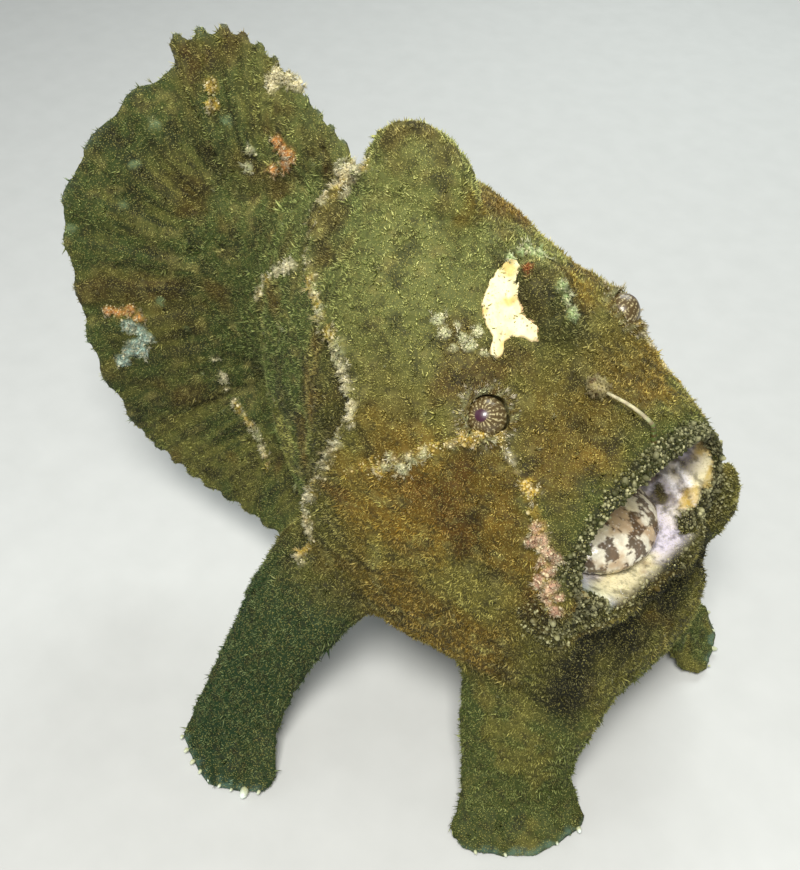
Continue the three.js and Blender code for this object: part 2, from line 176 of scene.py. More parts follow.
def warts(p, size, salt):
    """Round bumps: 1 at one jittered point in each cell of that size, falling to 0 half a cell away."""
    cell = np.floor(p / size).astype(np.int64)
    best = np.zeros(len(p))
    for step in np.ndindex(3, 3, 3):
        near = cell + np.array(step) - 1
        jitter = np.stack([lattice(near, salt + k) for k in range(3)], 1)
        centre = (near + 0.2 + 0.6 * jitter) * size
        reach = size * (0.25 + 0.3 * lattice(near, salt + 3))
        far = length(p - centre) / reach
        best = np.maximum(best, np.clip(1 - far * far, 0, 1))
    return best


def from_line(p, line):
    """Vector to each point from the nearest place on a line of points."""
    best, out = np.full(len(p), 1e9), np.zeros((len(p), line.shape[1]))
    for a, b in zip(line[:-1], line[1:]):
        way = b - a
        t = np.clip((p - a) @ way / max(way @ way, 1e-12), 0, 1)
        gap = p - a - t[:, None] * way
        far = length(gap)
        out = np.where((far < best)[:, None], gap, out)
        best = np.minimum(best, far)
    return out


def line_distance(p, line):
    """Distance from points to the nearest stretch of a line of points."""
    return length(from_line(p, line))


def within(p, loop, depth, edge, widest=60):
    """1 inside a closed loop laid on the skin, 0 outside: turns of the loop round each point, in its plane."""
    centre = loop.mean(0)
    axes = np.linalg.svd(loop - centre)[2]
    flat, ring = (p - centre) @ axes.T, (loop - centre) @ axes.T
    near = np.where((np.abs(flat[:, 2]) < depth) & (length(flat[:, :2]) < widest))[0]
    closed = np.concatenate([ring, ring[:1]])[:, :2]
    turns = np.zeros(len(near))
    for a, b in zip(closed[:-1], closed[1:]):
        u, v = a - flat[near, :2], b - flat[near, :2]
        turns += np.arctan2(u[:, 0] * v[:, 1] - u[:, 1] * v[:, 0], (u * v).sum(1))
    gap = line_distance(flat[near, :2], closed)
    out = np.zeros(len(p))
    out[near] = ease(-edge, edge, np.where(np.abs(turns) > np.pi, gap, -gap))
    return out


def straight(p):
    """Place before the bend: the arc along the bend's circle becomes x, the distance from it y."""
    q = p / MM + SHIFT
    out = q.copy()
    for start, rate, ahead in BENDS:
        radius = 1 / rate
        past = ahead * (q[:, 0] - start)
        over = past > 0
        turned = np.arctan2(past, q[:, 1] + radius)
        out[over, 0] = (start + ahead * radius * turned)[over]
        out[over, 1] = (np.hypot(past, q[:, 1] + radius) - radius)[over]
    return out


def bent(q):
    """The bend itself: x becomes an arc on the bend's circle, y a distance from it, in metres."""
    q = np.atleast_2d(np.array(q, float))
    out = q.copy()
    for start, rate, ahead in BENDS:
        radius = 1 / rate
        over = ahead * (q[:, 0] - start) > 0
        turned = np.abs(q[:, 0] - start) / radius
        out[over, 0] = (start + ahead * (radius + q[:, 1]) * np.sin(turned))[over]
        out[over, 1] = (q[:, 1] - (radius + q[:, 1]) * (1 - np.cos(turned)))[over]
    return (out - SHIFT) * MM


# From the bent fish's own origin to the frame's, found at the right eye
SHIFT = np.zeros(3)
SHIFT[0] = (bent(EYE_PLACE * [1, -1, 1])[0, 0] - sum(v.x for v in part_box("eye_right")) / 2) / MM


# Meshes from arrays
def mesh_object(name, points, faces, paint=None, marks=None, uv=None):
    """A mesh object of same-sided faces, with colours and masks as point attributes, and a named unwrap."""
    mesh = bpy.data.meshes.new(name)
    mesh.vertices.add(len(points))
    mesh.vertices.foreach_set("co", np.ascontiguousarray(points, np.float32).ravel())
    mesh.loops.add(faces.size)
    mesh.loops.foreach_set("vertex_index", np.ascontiguousarray(faces, np.int32).ravel())
    mesh.polygons.add(len(faces))
    mesh.polygons.foreach_set("loop_start", np.arange(0, faces.size, faces.shape[1], dtype=np.int32))
    mesh.polygons.foreach_set("use_smooth", np.ones(len(faces), bool))
    mesh.update(calc_edges=True)
    for title, values in (("paint", paint), ("marks", marks)):
        if values is not None:
            layer = mesh.color_attributes.new(name=title, type="FLOAT_COLOR", domain="POINT")
            full = np.concatenate([values, np.ones((len(points), 1))], axis=1)
            layer.data.foreach_set("color", full.astype(np.float32).ravel())
    if uv is not None:
        layer = mesh.uv_layers.new(name=uv[0])
        layer.data.foreach_set("uv", uv[1].astype(np.float32).ravel())
    piece = bpy.data.objects.new(name, mesh)
    bpy.context.scene.collection.objects.link(piece)
    return piece


def arrays(mesh):
    """Points and triangles of a mesh."""
    points = np.empty(len(mesh.vertices) * 3, np.float32)
    mesh.vertices.foreach_get("co", points)
    mesh.calc_loop_triangles()
    faces = np.empty(len(mesh.loop_triangles) * 3, np.int32)
    mesh.loop_triangles.foreach_get("vertices", faces)
    return points.reshape(-1, 3).astype(float), faces.reshape(-1, 3)


def point_normals(points, faces):
    """Normal of each point: the sum of its faces' area vectors, made one long."""
    corners = points[faces]
    area = np.cross(corners[:, 1] - corners[:, 0], corners[:, 2] - corners[:, 0])
    total = np.stack([
        sum(np.bincount(faces[:, k], area[:, axis], len(points)) for k in range(3))
        for axis in range(3)
    ], 1)
    return total / np.maximum(length(total)[:, None], 1e-20)


def merged_solids(names, swell):
    """Copies of solids with their loose triangles merged, each swollen along its normals."""
    all_points, all_faces, start = [], [], 0
    for name in names:
        points, faces = arrays(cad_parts[name].data)
        key = np.round(points / 1e-6).astype(np.int64)
        first, inverse = np.unique(key, axis=0, return_index=True, return_inverse=True)[1:]
        points = points[first]
        faces = inverse.ravel()[faces]
        faces = faces[(faces != np.roll(faces, 1, axis=1)).all(1)]
        all_points.append(points + swell * point_normals(points, faces))
        all_faces.append(faces + start)
        start += len(points)
    return np.concatenate(all_points), np.concatenate(all_faces)


def through(piece, kind, **settings):
    """Points and triangles of a piece after one modifier, and the piece is removed."""
    change = piece.modifiers.new(kind.lower(), kind)
    for title, value in settings.items():
        setattr(change, title, value)
    changed = piece.evaluated_get(bpy.context.evaluated_depsgraph_get())
    result = arrays(changed.to_mesh())
    changed.to_mesh_clear()
    bpy.data.objects.remove(piece)
    return result


def fused(names, voxel, swell, extra=None):
    """One closed surface round several solids, by voxels of the size given."""
    points, faces = merged_solids(names, swell)
    if extra is not None:
        faces = np.concatenate([faces, extra[1] + len(points)])
        points = np.concatenate([points, extra[0]])
    return through(mesh_object("fusing", points, faces), "REMESH", mode="VOXEL", voxel_size=voxel)


def smoothed(points, faces, rounds, share):
    """Each round moves a point towards the mean of its neighbours, by its own share of 0 to 1."""
    edge = np.concatenate([faces[:, [0, 1]], faces[:, [1, 2]], faces[:, [2, 0]]])
    count = np.bincount(edge[:, 0], minlength=len(points))[:, None]
    for _ in range(rounds):
        mean = np.stack([
            np.bincount(edge[:, 0], points[edge[:, 1], axis], len(points)) for axis in range(3)
        ], 1) / np.maximum(count, 1)
        points = points + share[:, None] * 0.5 * (mean - points)
    return points


def halves(a, b, c, d):
    """Two triangles for each four corners: all the first halves, then all the second."""
    return np.stack([np.stack([a, b, c], -1), np.stack([a, c, d], -1)]).reshape(-1, 3)


def lathe(rings, sides):
    """Triangles of closed rings of points between two end points, the foot first and the tip last."""
    k = np.arange(sides)
    n = (k + 1) % sides
    start = 1 + sides * np.arange(rings - 1)[:, None]
    a, b = start + k, start + n
    walls = np.stack([a, b, b + sides, a, b + sides, a + sides], -1).reshape(-1, 3)
    top = 1 + (rings - 1) * sides
    foot = np.stack([0 * k, 1 + n, 1 + k], 1)
    tip = np.stack([top + k, top + n, 0 * k + top + sides], 1)
    return np.concatenate([foot, walls, tip])


def globe(around, rows):
    """Triangles of a ball of meridians of so many rows, its poles last, and each corner's turn and row."""
    i, j = np.arange(around)[:, None, None], np.arange(rows - 1)[None, :, None]
    turn = np.concatenate([
        (i + [0, 0, 1, 0, 1, 1] + 0 * j).reshape(around, -1), i[:, 0] + [0.5, 0, 1, 0.5, 1, 0],
    ], 1)
    row = np.concatenate([
        (j + [0, 1, 1, 0, 1, 0] + 0 * i).reshape(around, -1),
        np.tile([-1, 0, 0, rows, rows - 1, rows - 1], (around, 1)),
    ], 1)
    index = turn.astype(int) % around * rows + row
    index = np.where(row < 0, around * rows, np.where(row == rows, around * rows + 1, index))
    return index.reshape(-1, 3), turn.ravel() / around, row.ravel()


# Where the forms and markings lie, worked out on the fish before its bend
def spine_line(points, count):
    """A smooth curve through points: a Catmull-Rom line read at evenly spaced places."""
    p = np.array(points, float)
    p = np.concatenate([[2 * p[0] - p[1]], p, [2 * p[-1] - p[-2]]])
    place = np.linspace(0, len(points) - 1, count)
    k = np.minimum(place.astype(int), len(points) - 2)
    t = (place - k)[:, None]
    a, b, c, d = p[k], p[k + 1], p[k + 2], p[k + 3]
    square, cube = 2 * a - 5 * b + 4 * c - d, 3 * b - a - 3 * c + d
    return 0.5 * (2 * b + t * (c - a) + t * t * square + t ** 3 * cube)


def lip(x, ahead, z, lift):
    """Centre line of a lip, a half oval from corner to corner of the mouth."""
    turn = np.linspace(-np.pi / 2, np.pi / 2, 25)
    return np.stack([x + ahead * np.cos(turn), 39 * np.sin(turn), z + lift * np.cos(turn)], 1)


UPPER_LIP, LOWER_LIP = lip(106, 3, 107, 39), lip(103, 9, 101, 4)

FINS = {
    "dorsal": dict(
        root=[[-14, 0, 192], [-36, 0, 181], [-54, -2, 174], [-68, -7, 170]],
        tip=[[-20, 0, 204], [-36, -1, 216], [-48, -2, 227], [-68, -4, 235], [-91, -15, 229]],
        bow=[0, -3, 0], rays=12),
    "anal": dict(
        root=[[-22, -8, 56], [-42, -7, 72], [-60, -8, 94]],
        tip=[[-24, -38, 40], [-56, -36, 40], [-86, -37, 41], [-106, -41, 53]],
        bow=[0, -4, 0], rays=8),
    "caudal": dict(
        root=[[-66, -3, 170], [-79, -16, 142], [-58, -5, 93]],
        tip=[[-84, -6, 222], [-104, -28, 206], [-114, -53, 174], [-112, -57, 139],
             [-108, -57, 103], [-104, -45, 59]],
        bow=[-3, -3, 0], rays=9),
}


def tail_web(thick):
    """The web between the lowest edges of tail fin and anal fin: the ruled sheet between both, two layers."""
    v = np.linspace(0.35, 0.985, 30)[:, None]
    first, second = [
        np.array(FINS[k]["root"][-1]) + (np.array(FINS[k]["tip"][-1]) - FINS[k]["root"][-1]) * v
        + np.sin(np.pi * v) * np.array(FINS[k]["bow"])
        for k in ("caudal", "anal")
    ]
    across = np.linspace(-0.25, 1.25, 8)
    sheet = first[:, None] + (second - first)[:, None] * across[None, :, None]
    off = np.cross(np.gradient(sheet, axis=0), np.gradient(sheet, axis=1))
    off *= thick / 2 / np.linalg.norm(off, axis=2, keepdims=True)
    layers = np.stack([sheet - off, sheet + off])
    low, high = np.arange(layers[..., 0].size).reshape(layers.shape[:3])
    faces = [
        halves(high[:-1, :-1], high[1:, :-1], high[1:, 1:], high[:-1, 1:]),
        halves(low[:-1, :-1], low[:-1, 1:], low[1:, 1:], low[1:, :-1]),
        halves(low[:-1, 0], low[1:, 0], high[1:, 0], high[:-1, 0]),
        halves(low[1:, -1], low[:-1, -1], high[:-1, -1], high[1:, -1]),
        halves(low[0, 1:], low[0, :-1], high[0, :-1], high[0, 1:]),
        halves(low[-1, :-1], low[-1, 1:], high[-1, 1:], high[-1, :-1]),
    ]
    return (layers.reshape(-1, 3) - SHIFT) * MM, np.concatenate(faces)


def fin_places(p, fin):
    """For points near a fin: how far along its root they lie, how far out, how far off it, the way out."""
    across, out = 61, 25
    u, v = np.meshgrid(np.linspace(0, 1, across), np.linspace(0, 1.05, out), indexing="ij")
    root, tip = spine_line(fin["root"], across)[:, None], spine_line(fin["tip"], across)[:, None]
    outward = (unit(tip - root) + 0 * v[..., None]).reshape(-1, 3)
    grid = root + (tip - root) * v[..., None]
    grid += np.sin(np.pi * np.minimum(v, 1))[..., None] * np.array(fin["bow"])
    grid, u, v = grid.reshape(-1, 3), u.ravel(), v.ravel()
    q = p / MM + SHIFT
    low, high = grid.min(0) - 8, grid.max(0) + 8
    near = np.where(((q > low) & (q < high)).all(1))[0]
    found = np.zeros(len(p), int)
    far = np.full(len(p), 1e3)
    for part in np.array_split(near, max(1, len(near) // 4000)):
        gap = ((q[part, None, :] - grid[None]) ** 2).sum(2)
        found[part] = gap.argmin(1)
        far[part] = np.sqrt(gap.min(1))
    return u[found], v[found], far, outward[found]


LIMBS = {
    "pectoral": dict(
        path=[[12, -38, 74], [9, -62, 60], [3, -82, 37], [1, -96, 16], [4, -107, 4], [7, -121, 1.4]],
        side=[1, 0.05, 0], wide=23, toe=9, rays=9),
    "pelvic": dict(
        path=[[88, -20, 62], [91, -36, 46], [94, -46, 28], [99, -52, 12], [106, -59, 4], [118, -66, 1.4]],
        side=[0.6, 0.8, 0], wide=25, toe=7, rays=5),
}


def toe_rim(limb, mirror):
    """The scalloped front rim of a standing fin, the places of its toe tips, in metres, and the way ahead."""
    side = np.array(limb["side"]) / np.linalg.norm(limb["side"])
    path = spine_line(limb["path"], 60)
    end = path[-2]
    ahead = (path[-1] - path[-4]) / np.linalg.norm(path[-1] - path[-4])
    toes = (2 * np.arange(limb["rays"]) + 1) / limb["rays"] - 1
    def rim(a):
        ridge = 0.5 + 0.5 * np.cos(np.pi * limb["rays"] * (a + 1) - np.pi)
        drawn = limb["toe"] * ((ridge - 1) * 0.35 - a * a)
        line = end + side * (limb["wide"] * a)[:, None] + ahead * drawn[:, None]
        line[:, 2] = np.maximum(line[:, 2], 1.0)
        return (line * [1, mirror, 1] - SHIFT) * MM
    return rim(np.linspace(-0.98, 0.98, 90)), rim(toes * 0.97), ahead * [1, mirror, 1]


TOE_RIMS = [toe_rim(limb, mirror) for limb in LIMBS.values() for mirror in (1, -1)]


def regions(p):
    """Masks over the fish, each from 0 to 1, and distances in millimetres, from its place before the bend."""
    s = straight(p)
    x, y, z = s.T
    out = {"s": s, "thin": np.zeros(len(p))}
    for name, fin in FINS.items():
        u, v, far, outward = fin_places(p, fin)
        on = ease(6.5, 3.5, far) * ease(0.1, 0.35, v)
        out[name] = (u, v, on, outward)
        out["thin"] = np.maximum(out["thin"], on)
    upper, lower = from_line(s, UPPER_LIP), from_line(s, LOWER_LIP)
    upper_far, lower_far = length(upper), length(lower)
    out["lip"] = ease(7.0, 4.6, np.minimum(upper_far, lower_far))
    nearest = np.where((upper_far < lower_far)[:, None], upper, lower)
    to_throat = MOUTH_MIDDLE - s
    out["inward"] = (nearest * to_throat).sum(1) / (length(nearest) * length(to_throat) + 1e-9)
    out["jaw"] = ease(15, 10, lower_far) * ease(112, 108, z) * ease(84, 98, x)
    out["below"] = -lower[:, 2]
    wide, high, level = along(MOUTH_WIDE, x), along(MOUTH_HIGH, x), along(MOUTH_LEVEL, x)
    hollow = np.abs(y / (wide + 1.2)) ** 2.4 + np.abs((z - level) / (high + 1.2)) ** 2.2
    out["inside"] = ease(1.06, 0.98, hollow) * ease(56, 58, x) * ease(116, 110, x)
    out["inside"] *= np.where(out["lip"] > 0.05, ease(0.1, 0.4, out["inward"]), 1)
    out["eye"] = length(s * [1, 0, 1] + [0, 1, 0] * np.abs(s) - EYE_PLACE)
    out["toe"] = np.full(len(p), 1e3)
    near = p[:, 2] < 0.02
    gaps = [length(p[near] - spot) for rim, _, _ in TOE_RIMS for spot in rim[::3]]
    out["toe"][near] = np.min(gaps, axis=0) / MM
    return out


# Step one: the fused skin, smoothed
skin_points, skin_faces = fused(FLESH, SKIN_VOXEL, SKIN_SWELL, tail_web(WEB_THICK))
print("fused skin", len(skin_points), len(skin_faces))
place = regions(skin_points)
soft = 1 - 0.88 * np.maximum(place["thin"], ease(0.2, 0.8, place["lip"]) * 0.7)
for firm, share in ((place["toe"] < 10, 0.25), (place["eye"] < 9, 0.3), (skin_points[:, 2] < 0.002, 0.2)):
    soft *= np.where(firm, share, 1)
skin_points = smoothed(skin_points, skin_faces, 34, soft)

# Step two: the camera's own look at the skin places the markings of the right side
skin_tree = BVHTree.FromPolygons(skin_points.tolist(), skin_faces.tolist())


def met(pixels):
    """Where the camera's rays through points of the frame meet the skin, in metres."""
    found = []
    for px, py in pixels:
        ray = (
            -CAMERA_BACK
            + CAMERA_RIGHT * (px - FRAME_WIDE / 2) / FOCAL_PIXELS
            - CAMERA_UP * (py - FRAME_HIGH / 2) / FOCAL_PIXELS
        )
        hit = skin_tree.ray_cast(Vector(CAMERA_AT), Vector(ray).normalized())[0]
        if hit is not None:
            found.append(np.array(hit))
    return np.array(found)


def seen(*pixels):
    """The same places before the bend."""
    return straight(met(pixels))


LEDGE = seen(
    (366, 168), (345, 172), (320, 210), (309, 256), (314, 294), (334, 345), (350, 390), (353, 412),
    (340, 440), (325, 465), (310, 500), (302, 556),
)
LEDGE_PROFILE = LEDGE[np.argsort(LEDGE[:, 2])][:, [2, 0]].T
LEDGE_BRANCH = seen((309, 256), (279, 270), (258, 297))
CANALS = [
    seen((497, 432), (465, 441), (400, 456), (345, 470), (325, 470)),
    seen((499, 432), (520, 480), (538, 520), (546, 600)),
]
BACK_RIDGE = seen((216, 361), (233, 402), (251, 425), (268, 471))
# Creases below the lower jaw and cheek: sunk in the skin and darkened with painted shade
CREASES = [seen((592, 640), (630, 636), (655, 592), (690, 565)), seen((590, 642), (575, 675), (560, 708))]
# Growths on the skin: how far each spot of a kind reaches, its colour, and where they are
SPOTS = {
    "rust": (1.8, tone("a5542c"), seen((531, 266), (526, 270))),
    "pink": (1.7, tone("b9927c"), seen(
        (534, 528), (540, 540), (545, 552), (540, 562), (549, 572), (552, 588), (546, 600), (556, 612),
        (533, 545), (560, 598), (556, 560), (538, 582),
    )),
    "tuft": (1.5, PALE, seen(
        (446, 334), (457, 324), (436, 318), (452, 346), (463, 338), (478, 330), (484, 352), (470, 345),
        (412, 460), (394, 456), (404, 468), (386, 466), (424, 452), (252, 150), (248, 168),
    )),
    "gold": (2.0, YELLOW, seen(
        (470, 441), (462, 438), (478, 436), (530, 492), (526, 484), (212, 104), (209, 86), (380, 470),
    )),
    "blue": (2.4, SEA, seen(
        (130, 326), (140, 330), (147, 338), (136, 344), (142, 353), (128, 352), (122, 360),
    )),
    "orange": (2.2, tone("c98a4c"), seen(
        (283, 150), (290, 156), (277, 142), (286, 166), (272, 170), (108, 312), (118, 314), (128, 312),
        (139, 318),
    )),
    "shelf": (2.4, tone("d9cfa6"), seen(
        (277, 74), (288, 78), (298, 84), (308, 92), (270, 84), (345, 172), (354, 182), (336, 188), (330, 198),
        (348, 194), (322, 206), (362, 170),
    )),
    "algae": (2.0, tone("a9bf86"), seen(
        (522, 252), (532, 250), (512, 258), (562, 286), (568, 298), (572, 312), (540, 252),
    )),
    "fleck": (1.4, tone("8ba373"), seen(
        (136, 163), (153, 123), (70, 227), (122, 204), (228, 120), (160, 300), (186, 330), (300, 250),
    )),
}
FLAT_SPOTS = ("rust", "fleck")
# Slots between the gill arches: sunk and darkened with painted shade
GILL_SLOTS = seen((652, 478), (658, 488), (662, 498))
GILL_FOLDS = [seen((664, 474), (676, 492), (684, 512)), seen((676, 466), (690, 486), (696, 506))]
BLOTCH = met([
    (483, 315), (482, 304), (486, 290), (494, 275), (505, 261), (516, 258), (520, 266), (514, 279),
    (516, 297), (523, 313), (537, 327), (538, 340), (532, 341), (528, 338), (520, 335), (512, 336),
    (505, 341), (503, 352), (498, 358), (492, 356), (491, 346), (494, 336), (487, 325),
])
LUMP = seen(
    (519, 262), (530, 259), (548, 266), (560, 285), (568, 310), (567, 335), (552, 343), (540, 337),
    (528, 315), (518, 300), (515, 284),
)
# Pores and a slit on the back: sunk and darkened with painted shade
PORES = seen((188, 240), (190, 252), (192, 258), (202, 244), (322, 152), (309, 156))
BACK_SLIT = seen((400, 237), (410, 231))


def marks_at(p, place):
    """Pale crust, spots and creases from 0 to 1, the way ahead of the body's step in mm, and where it lies."""
    s = place["s"]
    side, high = s[:, 1], s[:, 2]
    mirror = np.where((side > 0)[:, None], s * [1, -1, 1], s)
    rough = 0.5 * cloud(s, 5, 11) + 0.5 * cloud(s, 2.2, 12)
    patchy = 1.3 * np.abs(cloud(s, 9, 13)) + 1.2 * cloud(s, 1.4, 14)
    crust = ease(4.3, 1.6, line_distance(mirror, LEDGE) + 2.2 * rough + patchy)
    for line, wide, full in ((LEDGE_BRANCH, 2.4, 0.4), (BACK_RIDGE, 2.6, 0.5)):
        gap = line_distance(s, line) + 1.6 * rough + patchy
        crust = np.maximum(crust, (side < 6) * ease(wide, full, gap))
    spots = {}
    for name, (reach, _, places) in SPOTS.items():
        gap = np.min([length(s - spot) for spot in places], axis=0)
        spots[name] = ease(reach + 0.8, reach * 0.5, gap + 2.0 * rough)
    spots["raised"] = np.max([spots[name] for name in SPOTS if name not in FLAT_SPOTS], axis=0)
    spots["canal"] = np.max([
        ease(2.5, 1.0, line_distance(mirror, line) + 1.3 * rough + 0.7 * patchy) for line in CANALS
    ], axis=0)
    spots["lump"] = within(s, LUMP, 22, 2.5)
    spots["pore"] = np.max([ease(1.7, 0.9, length(s - pore)) for pore in PORES], axis=0)
    spots["pore"] = np.maximum(spots["pore"], ease(2.4, 1.0, line_distance(s, BACK_SLIT)))
    spots["slot"] = ease(2.4, 1.4, line_distance(s, GILL_SLOTS))
    spots["fold"] = np.max([ease(1.8, 0.4, line_distance(s, line)) for line in GILL_FOLDS], axis=0)
    gaps = [line_distance(mirror, line) for line in CREASES]
    spots["crease"] = np.max([ease(4.0, 0.3, gap) for gap in gaps], axis=0)
    # A wider band round the creases, where the shadow under the jaw is painted and spicules are fewer
    spots["under"] = np.max([ease(13, 3, gap + 3 * rough) for gap in gaps], axis=0)
    ahead = s[:, 0] - np.interp(high, *LEDGE_PROFILE) + 2.5 * rough
    body = (1 - place["thin"]) * ease(50, 62, high) * ease(216, 204, high) * ease(70, 62, np.abs(side))
    return crust, spots, ahead, body


# Step three: folds, warts, rays, lids and the step, all raised in the skin itself
crust, spots, ahead, body = marks_at(skin_points, place)
normal = point_normals(skin_points, skin_faces)
s, inside, eye_far = place["s"], place["inside"], place["eye"]
open_skin = (1 - place["lip"]) * (1 - inside)
fleshy = open_skin * (1 - place["thin"])
rise = 0.9 * layered(s, 24, 1) * fleshy
rise += 0.35 * layered(s, 7, 5) * open_skin
rise -= 0.75 * np.clip(1 - np.abs(layered(s * [1, 1, 1.6], 13, 21)) * 5, 0, 1) * fleshy
rise += 0.55 * warts(s, 5.5, 31) * fleshy
rise += 0.35 * warts(s, 2.8, 37) * (open_skin * 0.7 + place["lip"] * 1.6)
rise += body * np.where(ahead > 0, 2.4 * np.exp(-np.abs(ahead) / 14), -2.6 * np.exp(-np.abs(ahead) / 9))
rise -= 2.2 * spots["crease"] * (1 - inside)
rise += 0.9 * crust + 0.6 * spots["canal"]
rise += 0.7 * spots["raised"] - 1.4 * spots["pore"]
rise += inside * (0.9 * spots["fold"] - 1.2 * spots["slot"] + 0.35 * layered(s, 5, 89))
rise += spots["lump"] * (0.8 + 0.55 * np.cos(2 * np.pi * s[:, 1] / 3.4 + 1.5 * cloud(s, 6, 87)))
rise += 0.9 * np.exp(-((eye_far - 8.0) / 1.3) ** 2) - 0.5 * np.exp(-((eye_far - 11.0) / 1.8) ** 2)
for name, fin in FINS.items():
    u, v, on, _ = place[name]
    rays = fin["rays"]
    rise += on * (0.32 * np.cos(2 * np.pi * (u * rays - 0.5)) + 0.12 * np.cos(2 * np.pi * u * rays * 3))
    rise += on * 0.12 * streaks(u, v, 160, 12, 41)
sink = SKIN_SWELL + SKIN_SINK * (1 - place["thin"])
flat_sole = ease(0.0006, 0.0035, skin_points[:, 2])
skin_points = skin_points + normal * ((rise * MM * flat_sole) - sink)[:, None]
u, v, on, outward = place["dorsal"]
spike = np.maximum(np.cos(2 * np.pi * (u * FINS["dorsal"]["rays"] - 0.5)), 0) ** 3
spike *= 0.35 + 0.65 * ease(-0.3, 0.5, streaks(u, v, 9, 0, 43))
skin_points = skin_points + outward * (1.5 * MM * on * spike * ease(0.86, 1.0, v))[:, None]
skin_points[:, 2] = np.maximum(skin_points[:, 2], 0.0)
skin_points, skin_faces = through(
    mesh_object("thinning", skin_points, skin_faces), "DECIMATE",
    ratio=min(1.0, SKIN_TRIANGLES / len(skin_faces)), use_collapse_triangulate=True,
)
print("skin", len(skin_points), len(skin_faces))

# Step four: its colours
place = regions(skin_points)
crust, spots, ahead, body = marks_at(skin_points, place)
s, inside = place["s"], place["inside"]
x, y, z = s.T
under_head = ease(64, 44, z) * ease(55, 75, x)
paint = coats(
    OLIVE,
    (GOLD, 0.85 * ease(15, 46, x) * ease(40, 66, z) * ease(190, 140, z) * ease(102, 84, x)),
    # Partly the rear body's own greener tone, partly painted shade that darkens the far rear body
    (GREEN, 0.85 * ease(20, -15, x)),
    (MOSS, 0.75 * blots(s, 26, 51, 0.0, 0.5)),
    # Painted light: the top of the back made paler, as if lit from above
    (TOP_LIGHT_GREEN, 0.6 * ease(140, 195, z) * ease(-110, -10, x) * ease(90, 60, x)),
    (tone("9a7a2c"), 0.75 * blots(s, 19, 53, -0.05, 0.45) * ease(10, 30, x) * ease(100, 120, z)),
    (BROWN, 0.6 * blots(s, 17, 55, 0.1, 0.6)),
    # Dark blots towards the rear: partly mottling, partly painted shade that darkens the rear body
    (DARK, 0.6 * blots(s, 12, 59, 0.2, 0.65) * ease(30, -20, x)),
    (DARK, 0.6 * blots(s, 7, 63, 0.15, 0.6)),
    (tone("a39a58"), 0.5 * blots(s, 4.5, 64, 0.2, 0.6) * ease(50, 75, z)),
    (GRASS, 0.75 * ease(96, 110, x) * ease(110, 122, z)),
    (GRASS, 0.5 * blots(s, 20, 65, 0.1, 0.5) * ease(60, 90, x)),
    # Painted shade: the standing pectoral fins darkened to a deep green
    (LIMB_SHADE_GREEN, 0.85 * (ease(52, 66, np.abs(y)) * ease(78, 60, z) * ease(60, 40, x))),
    (blend(GREEN, MOSS, blots(s, 9, 69, 0.0, 0.5)), 0.7 * under_head),
)
for name in FINS:
    u, v, on, _ = place[name]
    streak = streaks(u, v, 90, 3, 67) + 0.6 * streaks(u, v, 40, 2, 68)
    paint = coats(
        paint,
        (DARK, on * 0.75 * ease(-0.1, 0.8, streak) * ease(1.0, 0.3, v)),
        (BROWN, on * 0.45 * blots(s, 9, 77, 0.0, 0.5) * (name == "dorsal")),
        (MOSS, on * 0.5 * ease(0.1, 0.9, -streak)),
        (SEA * 0.5, on * 0.45 * ease(0.95, 1.0, v)),
    )
lining = coats(
    CREAM,
    (LILAC, blots(s, 14, 71, -0.2, 0.5)),
    (tone("7a5530"), 0.75 * blots(s * [1, 1, 0.6], 7, 75, 0.3, 0.5)),
    (tone("3a2a1a"), 0.8 * blots(s * [0.7, 1, 1], 3.4, 127, 0.12, 0.3) * ease(106, 98, x)),
    (tone("f4f0f4"), 0.7 * spots["fold"]),
    # Painted shade in the slots between the gill arches
    (tone("1d1512"), 0.9 * spots["slot"]),
    (tone("9fc4ac"), 0.6 * ease(-14, -30, y) * ease(112, 100, z)),
    # Painted shade deep inside the mouth
    (tone("241a16"), ease(76, 60, x) * 0.85),
)
lip_band = place["lip"] * (1 - inside)
rim = ease(0.15, 0.45, place["inward"]) * ease(0.85, 0.6, place["inward"]) * ease(0.3, 0.8, place["lip"])
spokes = 0.5 + 0.5 * np.cos(np.arctan2(z - EYE_PLACE[2], x - EYE_PLACE[0]) * 13)
crust_colour = coats(
    CREAM, (YELLOW, ease(-0.1, 0.5, cloud(s, 6, 83))), (PALE * 0.7, ease(0.0, 0.6, cloud(s, 4, 85))),
)
paint = coats(
    paint,
    # Painted shade in the creases under the jaw and cheek
    (DARK, 0.85 * spots["crease"]),
    # Painted shadow on the rear body just behind the step
    (DARK, 0.75 * body * ease(-16, -2, ahead) * ease(2, -1, ahead)),
    # Painted shadow under the jaw
    (DARK * 0.7, 0.95 * spots["under"] * (1 - inside)),
    # Painted shade on the outer face of the lower jaw
    (DARK, 0.6 * place["jaw"] * (1 - inside)),
    (YELLOW * 0.7, 0.55 * ease(10, 12, place["below"]) * place["jaw"]),
    (tone("27280f"), 0.9 * lip_band),
    (lining, inside),
    (YELLOW, 0.8 * rim),
    (blend(BROWN, PALE, spokes ** 2), 0.5 * ease(12.5, 8.0, place["eye"])),
    (tone("33331a"), 0.7 * spots["lump"]),
    (crust_colour, 0.85 * crust),
    (blend(YELLOW, CREAM, ease(0.0, 0.6, cloud(s, 7, 84))), 0.8 * spots["canal"]),
    *[(colour, 0.9 * spots[name]) for name, (_, colour, _) in SPOTS.items()],
    # Painted shade in the pores and the slit on the back
    (INK, 0.9 * spots["pore"]),
    (tone("86b3a2"), 0.5 * ease(2.2, 0.6, place["toe"])),
)
crusty = np.maximum(crust, spots["raised"])
ground = paint * (0.44 + 0.56 * np.maximum(inside, crusty))[:, None]
